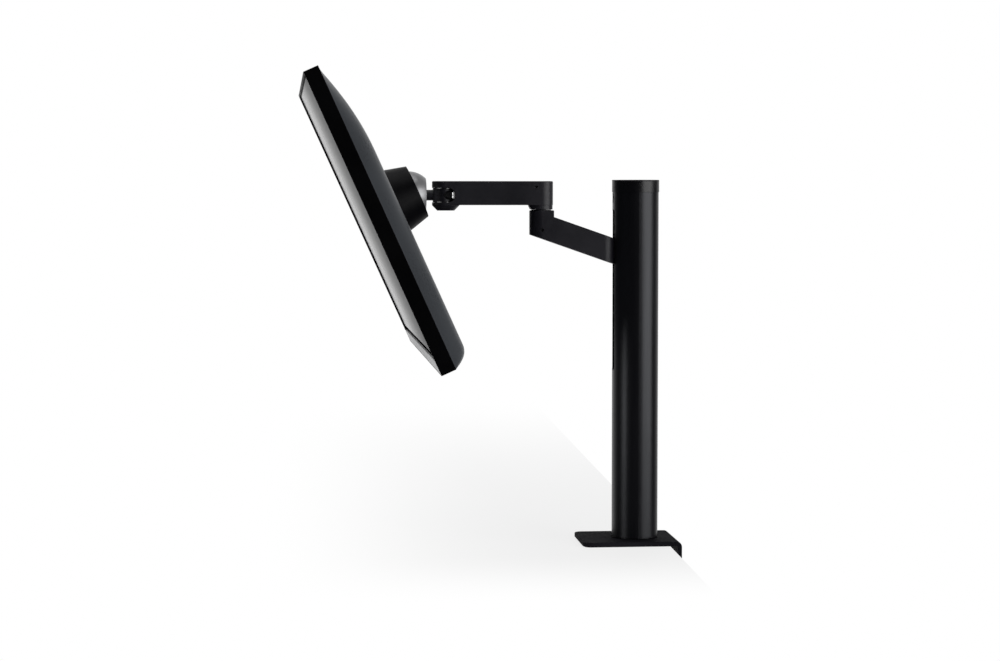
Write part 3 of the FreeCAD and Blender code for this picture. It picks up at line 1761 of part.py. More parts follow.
def make_electronics():
    board = new_body("main_board")
    face = f"-{PORT_FACE} - port_depth"
    prism(
        board,
        "XZ",
        f"{face} - board_thick",
        face,
        rectangle("port_left - 10", "-port_low", "port_right + 10", "-port_high + 40"),
    )
    chips = [("port_left + 30", "-port_high + 24", "9"), ("port_left + 70", "-port_high + 22", "7")]
    for x, z, half in chips:
        prism(
            board,
            "XZ",
            face,
            f"{face} + 2.5",
            rectangle(f"{x} - {half}", f"{z} - {half}", f"{x} + {half}", f"{z} + {half}"),
        )
    place_on_display(board)
    light = new_body("backlight")
    side = "display_half_width - frame_wall - face_gap"
    prism(
        light,
        "XZ",
        f"-{PANEL_BACK}",
        f"-{BACKLIGHT_BACK}",
        rectangle(
            f"-({side})",
            f"{DISPLAY_BOTTOM} + frame_wall + face_gap",
            side,
            f"{DISPLAY_TOP} - frame_wall - face_gap",
        ),
    )
    place_on_display(light)
    panel = new_body("lcd_panel")
    top = f"{DISPLAY_TOP} - frame_wall - face_gap"
    outline = rectangle(f"-({side})", f"{CHIN_TOP} + chin_gap", side, top)
    prism(panel, "XZ", f"-{PANEL_FACE}", f"-{PANEL_BACK}", outline)
    place_on_display(panel)
    chin = new_body("chin_bezel")
    prism(
        chin,
        "XZ",
        "-display_front",
        f"-{PANEL_BACK}",
        rectangle(f"-({side})", f"{DISPLAY_BOTTOM} + frame_wall * 0.4", side, CHIN_TOP),
    )
    wide = f"({side} + 1)"
    lip_top = f"{DISPLAY_BOTTOM} + frame_wall + face_gap"
    outline = rectangle(f"-{wide}", f"{DISPLAY_BOTTOM} - 1", wide, lip_top)
    prism(chin, "XZ", f"-{PANEL_FACE} + 0.2", f"-{PANEL_BACK} + 1", outline, cut=True)
    soften(
        chin,
        "Chamfer",
        "0.5",
        lambda e: runs_along(e, "X") and lies_at(e, "Y", value("-display_front")),
    )
    place_on_display(chin)


def make_mid_frame():
    body = new_body("mid_frame")
    side = "display_half_width"
    prism(
        body,
        "XZ",
        "-display_front",
        f"-{EDGE_BACK}",
        rectangle(f"-{side}", DISPLAY_BOTTOM, side, DISPLAY_TOP),
    )
    soften(body, "Fillet", "2", lambda e: runs_along(e, "Y"))
    inner = "display_half_width - frame_wall"
    prism(
        body,
        "XZ",
        "-display_front - 1",
        f"-{EDGE_BACK} + 1",
        rectangle(
            f"-({inner})",
            f"{DISPLAY_BOTTOM} + frame_wall",
            inner,
            f"{DISPLAY_TOP} - frame_wall",
        ),
        cut=True,
    )
    prism(
        body,
        "XZ",
        "-display_front - 1",
        f"-{PANEL_FACE} + 0.4",
        rectangle(
            f"-({inner})",
            f"{DISPLAY_BOTTOM} + frame_wall * 0.4 - face_gap",
            inner,
            f"{DISPLAY_BOTTOM} + frame_wall + 1",
        ),
        cut=True,
    )
    prism(
        body,
        "XY",
        f"{DISPLAY_BOTTOM} - 1",
        f"{DISPLAY_BOTTOM} + frame_wall + 1",
        circle("0", "-button_back", "button_stem + 0.4"),
        cut=True,
    )
    place_on_display(body)


def shell_solid(inset):
    """Crowned back: an upright side profile crossed with a level top profile."""
    back = -value("crown") - inset
    edge = -value(EDGE_BACK)
    top = value(DISPLAY_TOP) - inset - 0.4
    bottom = value(DISPLAY_BOTTOM) + inset + 0.4
    side = value("display_half_width") - inset - 0.4
    bend = top - value("shell_upper_curve")
    radius = value("shell_lower_radius") - inset
    rise = back - edge

    def tangent_arc(flat, far):
        """Middle of an arc that leaves the crown level and meets the edge plane."""
        reach = far - flat
        curve = (reach**2 + rise**2) / (2 * rise)
        half = math.asin(reach / curve) / 2
        return flat + curve * math.sin(half), back - curve * (1 - math.cos(half))

    middle_z, middle_y = tangent_arc(bend, top)
    corner = radius * (1 - math.sqrt(0.5))
    half_width = side + 1
    outline = [
        Part.LineSegment(Vector(0, edge, bottom), Vector(0, back - radius, bottom)),
        Part.Arc(
            Vector(0, back - radius, bottom),
            Vector(0, back - corner, bottom + corner),
            Vector(0, back, bottom + radius),
        ),
        Part.LineSegment(Vector(0, back, bottom + radius), Vector(0, back, bend)),
        Part.Arc(Vector(0, back, bend), Vector(0, middle_y, middle_z), Vector(0, edge, top)),
        Part.LineSegment(Vector(0, edge, top), Vector(0, edge, bottom)),
    ]
    wire = Part.Wire([piece.toShape() for piece in outline])
    upright = Part.Face(wire).extrude(Vector(2 * half_width, 0, 0))
    upright.translate(Vector(-half_width, 0, 0))
    flat = side - value("shell_side_curve") + inset
    middle_x, middle_y = tangent_arc(flat, side)
    # the level profile stands a little proud, so that no two flats lie in one plane
    crest, foot = back + 0.5, edge - 5
    outline = [
        Part.LineSegment(Vector(-side, foot, 0), Vector(side, foot, 0)),
        Part.LineSegment(Vector(side, foot, 0), Vector(side, edge, 0)),
        Part.Arc(Vector(side, edge, 0), Vector(middle_x, middle_y, 0), Vector(flat, crest, 0)),
        Part.LineSegment(Vector(flat, crest, 0), Vector(-flat, crest, 0)),
        Part.Arc(Vector(-flat, crest, 0), Vector(-middle_x, middle_y, 0), Vector(-side, edge, 0)),
        Part.LineSegment(Vector(-side, edge, 0), Vector(-side, foot, 0)),
    ]
    wire = Part.Wire([piece.toShape() for piece in outline])
    level = Part.Face(wire).extrude(Vector(0, 0, top - bottom + 2))
    level.translate(Vector(0, 0, bottom - 1))
    return upright.common(level)


def make_back_shell():
    """Hollow rear cover with a round opening for the pivot and one for the sockets."""
    outer = shell_solid(0)
    inner = shell_solid(value("shell_wall"))
    inner.translate(Vector(0, -0.01, 0))
    shell = outer.cut(inner)
    hole = Part.makeCylinder(
        value("shell_hole_radius"), 30, Vector(0, -value(EDGE_BACK), 0), Vector(0, 1, 0)
    )
    left, right = value("port_left"), value("port_right")
    low, high = -value("port_low"), -value("port_high")
    window = Part.makeBox(
        right - left, 30, high - low, Vector(left, -value(EDGE_BACK) + 3, low)
    )
    shell = shell.cut(hole).cut(window)
    piece = doc.addObject("Part::Feature", "back_shell")
    piece.Label = "back_shell"
    piece.Shape = shell
    pieces.append(piece)
    place_on_display(piece)


def make_port_panel():
    body = new_body("port_panel")
    floor = f"-{PORT_FACE} - port_depth"

    def outline(inset):
        return rectangle(
            f"port_left + {inset}",
            f"-port_low + {inset}",
            f"port_right - {inset}",
            f"-port_high - {inset}",
        )

    inside = outline("(face_gap + port_wall)")
    prism(body, "XZ", floor, f"-{PORT_FACE}", outline("face_gap"))
    prism(body, "XZ", f"{floor} + port_wall", f"-{PORT_FACE} + 1", inside, cut=True)
    middle = "-(port_low + port_high) / 2"
    sockets = (
        ("port_left + 14", "8", "7"),
        ("port_left + 38", "7.2", "2.6"),
        ("port_left + 58", "7.2", "2.6"),
        ("port_left + 76", "4.5", "1.8"),
        ("port_left + 92", "6.2", "3"),
    )
    for x, half_wide, half_tall in sockets:
        prism(
            body,
            "XZ",
            f"{floor} - 1",
            f"{floor} + port_wall + 1",
            rectangle(
                f"{x} - {half_wide}",
                f"{middle} - {half_tall}",
                f"{x} + {half_wide}",
                f"{middle} + {half_tall}",
            ),
            cut=True,
        )
    place_on_display(body)


def make_button():
    body = new_body("menu_button")
    outside = f"{DISPLAY_BOTTOM} - button_out"
    rest = f"{DISPLAY_BOTTOM} - 2"
    spin(
        body,
        "Z",
        ("0", outside),
        ("button_radius - 1", outside),
        ("button_radius", f"{outside} + 1"),
        ("button_radius", rest),
        ("button_stem", rest),
        ("button_stem", f"{DISPLAY_BOTTOM} + button_in"),
        ("0", f"{DISPLAY_BOTTOM} + button_in"),
    )
    place_on_display(body)
    place(
        body,
        y="-tilt_reach - button_back * cos(tilt_rest)",
        z=f"{NECK_HEIGHT} - button_back * sin(tilt_rest)",
    )


# ---------------------------------------------------------------- build and write


def build():
    make_base_plate()
    make_base_pad()
    make_spigot()
    make_swivel_hardware()
    make_lower_jaw()
    make_clamp_screw()
    make_post_tube()
    make_post_bottom()
    make_rail()
    make_post_top()
    make_gas_spring()
    make_carriage()
    make_lower_arm()
    make_elbow_parts()
    make_upper_arm()
    make_upper_hardware()
    make_head()
    make_fork()
    make_tilt_group()
    make_mount()
    make_chassis()
    make_electronics()
    make_mid_frame()
    make_back_shell()
    make_port_panel()
    make_button()
    doc.recompute()


def check():
    """Raises if anything failed to build, or a cut took nothing away."""
    for thing in doc.Objects:
        faults = [word for word in thing.State if word in ("Invalid", "Error")]
        if faults:
            raise RuntimeError(f"{thing.Label}: {faults}")
    for feature, before in cuts:
        if before.Shape.Volume - feature.Shape.Volume < 0.01:
            raise RuntimeError(f"{feature.Label} cuts nothing")
    for piece in pieces:
        if piece.Shape.isNull() or not piece.Shape.isValid():
            raise RuntimeError(f"{piece.Label} has no valid shape")


def write():
    os.makedirs("parts", exist_ok=True)
    for piece in pieces:
        piece.Shape.exportStep(f"parts/{piece.Label}.step")
        box = piece.Shape.BoundBox
        print(
            f"{piece.Label:22s} {len(piece.Shape.Solids)} solids, "
            f"X {box.XMin:7.1f} {box.XMax:7.1f}  Y {box.YMin:7.1f} {box.YMax:7.1f}  "
            f"Z {box.ZMin:7.1f} {box.ZMax:7.1f}"
        )


build()
check()
write()
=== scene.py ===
"""Looks for the desk-clamp monitor arm: materials, display back, sockets, stage and camera."""
import json
import math

import bmesh
import bpy
from mathutils import Matrix, Vector


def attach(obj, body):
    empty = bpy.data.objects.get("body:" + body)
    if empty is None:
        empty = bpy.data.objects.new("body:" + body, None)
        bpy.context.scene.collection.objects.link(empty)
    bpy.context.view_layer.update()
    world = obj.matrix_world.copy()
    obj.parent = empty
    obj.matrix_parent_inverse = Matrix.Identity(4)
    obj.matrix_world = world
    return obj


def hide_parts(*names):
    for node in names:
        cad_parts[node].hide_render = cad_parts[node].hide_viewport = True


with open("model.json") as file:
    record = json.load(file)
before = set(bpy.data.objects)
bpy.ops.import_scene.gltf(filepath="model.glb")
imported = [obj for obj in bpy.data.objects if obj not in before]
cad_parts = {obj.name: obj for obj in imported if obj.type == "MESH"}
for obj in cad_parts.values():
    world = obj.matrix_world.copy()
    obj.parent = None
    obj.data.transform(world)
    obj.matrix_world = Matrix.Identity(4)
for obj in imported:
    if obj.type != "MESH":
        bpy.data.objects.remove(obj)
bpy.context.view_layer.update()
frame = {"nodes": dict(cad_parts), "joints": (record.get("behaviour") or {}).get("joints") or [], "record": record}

MM = 0.001
SMOOTH_BELOW = math.radians(32)


# ---------------------------------------------------------------- node helpers


def link(tree, source, target):
    tree.links.new(source, target)


def add(tree, kind, **settings):
    """A node with its inputs set by name; a setting that isn't an input is a property."""
    node = tree.nodes.new(kind)
    for name, value in settings.items():
        label = name.replace("_", " ").title()
        if label in node.inputs:
            node.inputs[label].default_value = value
        else:
            setattr(node, name, value)
    return node


def math_node(tree, operation, first, second):
    node = add(tree, "ShaderNodeMath", operation=operation)
    for slot, value in ((0, first), (1, second)):
        if isinstance(value, (int, float)):
            node.inputs[slot].default_value = value
        else:
            link(tree, value, node.inputs[slot])
    return node.outputs[0]


def map_range(tree, value, low, high, to_low, to_high):
    node = add(tree, "ShaderNodeMapRange", interpolation_type="SMOOTHSTEP")
    link(tree, value, node.inputs["Value"])
    node.inputs["From Min"].default_value = low
    node.inputs["From Max"].default_value = high
    node.inputs["To Min"].default_value = to_low
    node.inputs["To Max"].default_value = to_high
    return node.outputs[0]


def noise(tree, places, per_metre, stretch=(1, 1, 1), detail=4.0):
    """Noise with that many bumps a metre, stretched by axis."""
    mapping = add(tree, "ShaderNodeMapping")
    mapping.inputs["Scale"].default_value = stretch
    link(tree, places, mapping.inputs["Vector"])
    texture = add(tree, "ShaderNodeTexNoise", scale=per_metre, detail=detail)
    link(tree, mapping.outputs[0], texture.inputs["Vector"])
    return texture.outputs[0]


def mix_colour(tree, factor, first, second):
    node = add(tree, "ShaderNodeMix", data_type="RGBA")
    slots = {s.name: s for s in node.inputs if s.type == "RGBA"}
    if isinstance(factor, (int, float)):
        node.inputs[0].default_value = factor
    else:
        link(tree, factor, node.inputs[0])
    for name, value in (("A", first), ("B", second)):
        if isinstance(value, tuple):
            slots[name].default_value = value
        else:
            link(tree, value, slots[name])
    return [s for s in node.outputs if s.type == "RGBA"][0]


def shade(colour, factor):
    return tuple(min(1.0, c * factor) for c in colour) + (1.0,)


def edge_mask(tree, radius):
    """Near one along edges, nought on flats; and the rounded normal."""
    bevel = add(tree, "ShaderNodeBevel", samples=4, radius=radius)
    geometry = add(tree, "ShaderNodeNewGeometry")
    dot = add(tree, "ShaderNodeVectorMath", operation="DOT_PRODUCT")
    link(tree, bevel.outputs[0], dot.inputs[0])
    link(tree, geometry.outputs["Normal"], dot.inputs[1])
    return map_range(tree, dot.outputs["Value"], 0.999, 0.86, 0.0, 1.0), bevel.outputs[0]


PATCHES = 14
MARKS = 260
GRAIN_DEPTH = 0.12 * MM
# How many times lighter the edges are painted: real wear plus a painted edge highlight.
EDGE_WEAR_AND_HIGHLIGHT_LIGHTER = 2.6


def finish(
    name,
    colour,
    rough,
    metal=0.0,
    grain=2600,
    bump=0.06,
    mottle=0.16,
    rough_swing=0.12,
    wear_and_highlight=0.35,
    wear_and_highlight_to=None,
    edge=0.0005,
    stretch=(1, 1, 1),
    spec=0.5,
    tint=(1, 1, 1),
):
    """A surface with fine grain, broad variation in tone and gloss, and lighter edges that are partly real wear
    and partly a painted edge highlight.

    grain, PATCHES and MARKS count bumps a metre: the grain, the broad tone and the small marks.
    """
    material = bpy.data.materials.new(name)
    material.use_nodes = True
    tree = material.node_tree
    tree.nodes.clear()
    out = add(tree, "ShaderNodeOutputMaterial")
    shader = add(tree, "ShaderNodeBsdfPrincipled")
    link(tree, shader.outputs[0], out.inputs["Surface"])
    shader.inputs["Metallic"].default_value = metal
    shader.inputs["Specular IOR Level"].default_value = spec
    shader.inputs["Specular Tint"].default_value = tint + (1,)
    places = add(tree, "ShaderNodeTexCoord").outputs["Object"]
    fine = noise(tree, places, grain, stretch, detail=2.0)
    broad = noise(tree, places, PATCHES, stretch, detail=6.0)
    middle = noise(tree, places, MARKS, stretch, detail=3.0)
    edges, rounded = edge_mask(tree, edge)
    tone = mix_colour(
        tree,
        map_range(tree, broad, 0.35, 0.65, 0.0, 1.0),
        shade(colour, 1 - mottle),
        shade(colour, 1 + mottle),
    )
    # Lighter edges: partly rubbed wear, partly a painted highlight along edges that catch the light.
    worn_and_highlit = math_node(
        tree, "MULTIPLY", edges, map_range(tree, middle, 0.35, 0.7, 0.35 * wear_and_highlight, wear_and_highlight)
    )
    worn_and_highlit_colour = (wear_and_highlight_to + (1.0,)) if wear_and_highlight_to else shade(colour, EDGE_WEAR_AND_HIGHLIGHT_LIGHTER)
    link(tree, mix_colour(tree, worn_and_highlit, tone, worn_and_highlit_colour), shader.inputs["Base Color"])
    gloss = math_node(
        tree,
        "ADD",
        map_range(tree, broad, 0.3, 0.7, rough - rough_swing / 2, rough + rough_swing / 2),
        map_range(tree, middle, 0.3, 0.7, -0.03, 0.03),
    )
    link(tree, gloss, shader.inputs["Roughness"])
    relief = add(tree, "ShaderNodeBump", strength=min(1.0, bump * 10), distance=GRAIN_DEPTH)
    link(tree, fine, relief.inputs["Height"])
    link(tree, rounded, relief.inputs["Normal"])
    link(tree, relief.outputs[0], shader.inputs["Normal"])
    return material


# ---------------------------------------------------------------- materials by slot and node

POST_GREY = (0.0036, 0.0035, 0.0048)
ARM_GREY = (0.0088, 0.0083, 0.0125)
PLATE_GREY = (0.0098, 0.0094, 0.0120)
STEEL_GREY = (0.50, 0.50, 0.51)

LOOKS = {
    "black_powder": finish("arm_paint", ARM_GREY, 0.43, bump=0.05, spec=0.36),
    "black_cap": finish("cap_gloss", (0.006, 0.006, 0.007), 0.45, bump=0.02, spec=0.3),
    "black_cover": finish("cover_black", (0.0075, 0.0072, 0.0085), 0.46, bump=0.07, spec=0.4),
    "silver_dome": finish(
        "dome_silver",
        (0.29, 0.29, 0.298),
        0.42,
        metal=0.6,
        spec=0.3,
        bump=0.03,
        mottle=0.04,
        wear_and_highlight=0.1,
    ),
    "shell_grey": finish(
        "shell_grain",
        (0.046, 0.0495, 0.055),
        0.3,
        grain=1500,
        bump=0.02,
        mottle=0.05,
        rough_swing=0.05,
        wear_and_highlight=0.1,
        spec=0.02,
        tint=(0.86, 0.93, 1.0),
    ),
    "edge_black": finish("edge_black", (0.0006, 0.0006, 0.0009), 0.5, bump=0.03, spec=0.06),
    "screen": finish(
        "screen_face",
        (0.008, 0.008, 0.009),
        0.4,
        grain=5200,
        bump=0.004,
        mottle=0.02,
        rough_swing=0.01,
        wear_and_highlight=0.0,
    ),
    "chin_silver": finish(
        "chin_silver", (0.37, 0.372, 0.38), 0.42, metal=0.3, bump=0.006, mottle=0.03, wear_and_highlight=0.1
    ),
    "steel": finish(
        "zinc_steel", STEEL_GREY, 0.32, metal=1.0, grain=900, bump=0.03, wear_and_highlight=0.15
    ),
    # Edges painted light grey: partly wear, partly a painted highlight around the screw edges.
    "black_steel": finish(
        "oxide_steel", (0.022, 0.022, 0.024), 0.36, metal=0.7, wear_and_highlight=0.5, wear_and_highlight_to=(0.16, 0.16, 0.16)
    ),
    "bright_rod": finish(
        "chrome_rod",
        (0.72, 0.72, 0.73),
        0.1,
        metal=1.0,
        bump=0.01,
        wear_and_highlight=0.05,
        stretch=(1, 1, 0.05),
    ),
    "alloy": finish(
        "drawn_alloy",
        (0.56, 0.56, 0.57),
        0.35,
        metal=1.0,
        grain=700,
        stretch=(1, 1, 0.04),
        wear_and_highlight=0.2,
    ),
    "bronze": finish("bronze", (0.36, 0.21, 0.09), 0.42, metal=1.0, bump=0.08, wear_and_highlight=0.2),
    "rubber": finish(
        "rubber", (0.016, 0.016, 0.017), 0.78, grain=1800, bump=0.1, spec=0.3, wear_and_highlight=0.2
    ),
    "nylon": finish("nylon", (0.62, 0.61, 0.56), 0.5, bump=0.04, wear_and_highlight=0.1),
    "board": finish(
        "board",
        (0.018, 0.085, 0.040),
        0.4,
        grain=500,
        bump=0.08,
        wear_and_highlight=0.4,
        wear_and_highlight_to=(0.3, 0.24, 0.1),
    ),
}
BY_NODE = {
    "post_tube": finish(
        "post_anodised",
        POST_GREY,
        0.33,
        grain=2200,
        bump=0.03,
        stretch=(1, 1, 0.03),
        spec=0.34,
        tint=(0.93, 0.95, 1.0),
        mottle=0.06,
        rough_swing=0.05,
        wear_and_highlight=0.05,
    ),
    "base_plate": finish("plate_paint", PLATE_GREY, 0.72, bump=0.05, spec=0.02),
    "top_cap": finish("cap_paint", POST_GREY, 0.33, bump=0.03, spec=0.34, wear_and_highlight=0.05),
    "shroud": finish("shroud_black", (0.0022, 0.0021, 0.003), 0.45, bump=0.05, spec=0.08),
    "backlight": finish("light_guide", (0.012, 0.012, 0.013), 0.6, bump=0.02, wear_and_highlight=0.0),
}


def paint(obj, material):
    obj.data.materials.clear()
    obj.data.materials.append(material)
    for polygon in obj.data.polygons:
        polygon.material_index = 0


for sub in frame["record"]["subparts"]:
    node = sub["node"]
    paint(frame["nodes"][node], BY_NODE.get(node) or LOOKS[sub["material_slot"]])


# ---------------------------------------------------------------- display: its own axes

joints = {joint["name"]: joint for joint in frame["joints"]}
tilt_centre = Vector(joints["tilt"]["pos_m"])
rear = Vector(joints["pivot"]["axis"]).normalized()
across = Vector((1, 0, 0))
upward = across.cross(rear) * -1
if upward.z < 0:
    upward.negate()
to_display = Matrix((across, rear, upward)).transposed().to_4x4()
to_display.translation = tilt_centre


def local_box(node):
    """A display node's lowest and highest corner along its own width, depth and height."""
    back = to_display.inverted()
    corners = [back @ v.co for v in frame["nodes"][node].data.vertices]
    low = Vector([min(c[i] for c in corners) for i in range(3)])
    high = Vector([max(c[i] for c in corners) for i in range(3)])
    return low, high


SCREEN_SPEC = 0.5
SCREEN_HAZE = (-0.26, 0.12)
SCREEN_BORDER = 0.8 * MM
SCREEN_LOWER_BORDER = 5.5 * MM
BORDER_SOFT = 0.2 * MM
BORDER_BLACK = (0.001, 0.001, 0.001, 1)


def dress_screen(node, below, around):
    """The panel's dull black border, and a film that is hazier towards the right-hand side."""
    tree = frame["nodes"][node].data.materials[0].node_tree
    shader = next(n for n in tree.nodes if n.type == "BSDF_PRINCIPLED")
    low, high = local_box(node)
    places = add(tree, "ShaderNodeTexCoord").outputs["Object"]

    def along(axis):
        dot = add(tree, "ShaderNodeVectorMath", operation="DOT_PRODUCT")
        link(tree, places, dot.inputs[0])
        dot.inputs[1].default_value = axis
        return math_node(tree, "SUBTRACT", dot.outputs["Value"], axis.dot(tilt_centre))

    sideways, lengthways = along(across), along(upward)
    inside = 1.0
    for place, edge, within in (
        (sideways, low.x + around, (0.0, 1.0)),
        (sideways, high.x - around, (1.0, 0.0)),
        (lengthways, low.z + below, (0.0, 1.0)),
        (lengthways, high.z - around, (1.0, 0.0)),
    ):
        step = map_range(tree, place, edge - BORDER_SOFT, edge + BORDER_SOFT, *within)
        inside = math_node(tree, "MULTIPLY", step, inside)
    colour = shader.inputs["Base Color"].links[0].from_socket
    gloss = shader.inputs["Roughness"].links[0].from_socket
    link(tree, mix_colour(tree, inside, BORDER_BLACK, colour), shader.inputs["Base Color"])
    link(
        tree, math_node(tree, "MULTIPLY", inside, SCREEN_SPEC), shader.inputs["Specular IOR Level"]
    )
    haze = map_range(tree, sideways, low.x, high.x, *SCREEN_HAZE)
    link(tree, math_node(tree, "ADD", gloss, haze), shader.inputs["Roughness"])


dress_screen("lcd_panel", SCREEN_LOWER_BORDER, SCREEN_BORDER)


# ---------------------------------------------------------------- display back shell

SHELL_WALL = 2.5 * MM
SIDE_CURVE = 54 * MM
UPPER_CURVE = 111 * MM
LOWER_RADIUS = 17 * MM
HOLE_RADIUS = 42.5 * MM
SIDE_FINE = 8 * MM
FINE_STEPS = 12
GRID = (110, 48)
INNER_DROP = 2 * MM
FRONT_DROP = 0.2 * MM
WINDOW_GAP = 0.4 * MM
WINDOW_RISE = 3 * MM
CUT_PAST = 10 * MM


def fall(distance, reach, rise):
    """How far an arc that starts level has dropped, when it drops by rise over reach."""
    if distance <= 0:
        return 0.0
    radius = (reach**2 + rise**2) / (2 * rise)
    return radius - math.sqrt(radius**2 - min(distance, reach) ** 2)


def spread(low, high, count, fine):
    """Grid places from low to high, closer together within fine of both ends."""
    places = {low + (high - low) * i / count for i in range(count + 1)}
    for i in range(1, FINE_STEPS + 1):
        step = fine * (i / FINE_STEPS) ** 2
        places.update((low + step, high - step))
    return sorted(places)


def shell_form(low, high, inset):
    """Closed crowned solid: grid of the back, walls down to the edge plane, and a flat front."""
    side = high.x - inset
    top = high.z - inset
    bottom = low.z + inset
    edge = low.y if inset == 0 else low.y - INNER_DROP
    crown = high.y - inset
    rise = crown - edge
    xs = spread(-side, side, GRID[0], SIDE_FINE)
    zs = spread(bottom, top, GRID[1], LOWER_RADIUS)
    bend = top - UPPER_CURVE

    def height(x, z):
        over = rise - fall(abs(x) - (side - SIDE_CURVE), SIDE_CURVE, rise)
        up = rise - fall(z - bend, UPPER_CURVE, rise)
        near = z - bottom
        if near < LOWER_RADIUS:
            corner = math.sqrt(LOWER_RADIUS**2 - (LOWER_RADIUS - near) ** 2)
            up = min(up, rise - LOWER_RADIUS + corner)
        return edge + max(0.0, over * up / rise)

    mesh = bmesh.new()
    back = [[mesh.verts.new((x, height(x, z), z)) for z in zs] for x in xs]
    front = [[mesh.verts.new((x, edge - FRONT_DROP, z)) for z in zs] for x in xs]
    for i in range(len(xs) - 1):
        for j in range(len(zs) - 1):
            mesh.faces.new((back[i][j], back[i][j + 1], back[i + 1][j + 1], back[i + 1][j]))
            mesh.faces.new((front[i][j], front[i + 1][j], front[i + 1][j + 1], front[i][j + 1]))
    for i in range(len(xs) - 1):
        for j in (0, len(zs) - 1):
            mesh.faces.new((back[i][j], back[i + 1][j], front[i + 1][j], front[i][j]))
    for j in range(len(zs) - 1):
        for i in (0, len(xs) - 1):
            mesh.faces.new((back[i][j], back[i][j + 1], front[i][j + 1], front[i][j]))
    bmesh.ops.recalc_face_normals(mesh, faces=mesh.faces)
    data = bpy.data.meshes.new("shell_form")
    mesh.to_mesh(data)
    mesh.free()
    return data


def new_piece(name, data):
    obj = bpy.data.objects.new(name, data)
    bpy.context.scene.collection.objects.link(obj)
    return obj


def box_mesh(low, high):
    mesh = bmesh.new()
    bmesh.ops.create_cube(mesh, size=1.0)
    for v in mesh.verts:
        v.co = Vector([low[i] + (v.co[i] + 0.5) * (high[i] - low[i]) for i in range(3)])
    data = bpy.data.meshes.new("cutter")
    mesh.to_mesh(data)
    mesh.free()
    return data


def round_mesh(radius, low, high):
    """Cylinder along the display's depth."""
    mesh = bmesh.new()
    bmesh.ops.create_cone(
        mesh, cap_ends=True, segments=160, radius1=radius, radius2=radius, depth=high - low
    )
    turn = Matrix.Rotation(math.pi / 2, 3, "X")
    bmesh.ops.rotate(mesh, cent=(0, 0, 0), matrix=turn, verts=mesh.verts)
    bmesh.ops.translate(mesh, vec=(0, (low + high) / 2, 0), verts=mesh.verts)
    data = bpy.data.meshes.new("cutter")
    mesh.to_mesh(data)
    mesh.free()
    return data


def subtract(solid, cutters):
    """The solid's mesh with the cutters taken away."""
    for cutter in cutters:
        modifier = solid.modifiers.new("cut", "BOOLEAN")
        modifier.operation = "DIFFERENCE"
        modifier.solver = "EXACT"
        modifier.object = cutter
    bpy.context.view_layer.update()
    result = bpy.data.meshes.new_from_object(
        solid.evaluated_get(bpy.context.evaluated_depsgraph_get())
    )
    for used in [solid, *cutters]:
        bpy.data.objects.remove(used)
    return result


def smooth(data):
    """Smooth shading that keeps the sharp edges."""
    data.polygons.foreach_set("use_smooth", [True] * len(data.polygons))
    data.set_sharp_from_angle(angle=SMOOTH_BELOW)


def make_back_shell():
    """A smooth shell, with its arm hole and connector window, in place of the faceted solid."""
    low, high = local_box("back_shell")
    ports_low, ports_high = local_box("port_panel")
    solid = new_piece("shell_outer", shell_form(low, high, 0))
    inner = new_piece("shell_inner", shell_form(low, high, SHELL_WALL))
    hole = new_piece("shell_hole", round_mesh(HOLE_RADIUS, low.y - CUT_PAST, high.y + CUT_PAST))
    window = new_piece(
        "shell_window",
        box_mesh(
            (ports_low.x - WINDOW_GAP, low.y + WINDOW_RISE, ports_low.z - WINDOW_GAP),
            (ports_high.x + WINDOW_GAP, high.y + CUT_PAST, ports_high.z + WINDOW_GAP),
        ),
    )
    data = subtract(solid, [inner, hole, window])
    data.transform(to_display)
    shell = new_piece("back_shell_smooth", data)
    smooth(data)
    paint(shell, LOOKS["shell_grey"])
    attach(shell, "display")
    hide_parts("back_shell")


make_back_shell()


# ---------------------------------------------------------------- sockets in the connector panel

SOCKET_WALL = 0.55 * MM
SOCKET_LIP = 0.25 * MM
SOCKET_PLAY = 0.1 * MM
SOCKET_REACH = 2.6 * MM
SOCKET_LIFT = 0.2 * MM
CORE_LIFT = 0.3 * MM
CORE_GAP = 0.01 * MM
CORE_THICK = 0.2 * MM
TONGUE_SHORT = 0.7 * MM
TONGUE_TIP = 0.25 * MM
LOOP_STEPS = 6

# distance along the panel, half width, half height, corner radius as a share of half height
SOCKETS = (
    (14 * MM, 8.0 * MM, 7.0 * MM, 0.10),
    (38 * MM, 7.2 * MM, 2.6 * MM, 0.55),
    (58 * MM, 7.2 * MM, 2.6 * MM, 0.55),
    (76 * MM, 4.5 * MM, 1.8 * MM, 0.95),
    (92 * MM, 6.2 * MM, 3.0 * MM, 0.30),
)


def loop(x, z, half_wide, half_tall, radius, y):
    """Corner-rounded rectangle across the panel, as a list of places."""
    places = []
    for turn, (side, end) in enumerate(((1, 1), (-1, 1), (-1, -1), (1, -1))):
        corner_x = x + side * (half_wide - radius)
        corner_z = z + end * (half_tall - radius)
        for step in range(LOOP_STEPS + 1):
            angle = math.pi / 2 * (turn + step / LOOP_STEPS)
            place = (corner_x + radius * math.cos(angle), y, corner_z + radius * math.sin(angle))
            places.append(Vector(place))
    return places


def skin(mesh, rings):
    """Joins each ring to the next, and caps the first and the last."""
    rows = [[mesh.verts.new(place) for place in ring] for ring in rings]
    for first, second in zip(rows, rows[1:]):
        for i in range(len(first)):
            j = (i + 1) % len(first)
            mesh.faces.new((first[i], first[j], second[j], second[i]))
    mesh.faces.new(rows[0])
    mesh.faces.new(rows[-1])


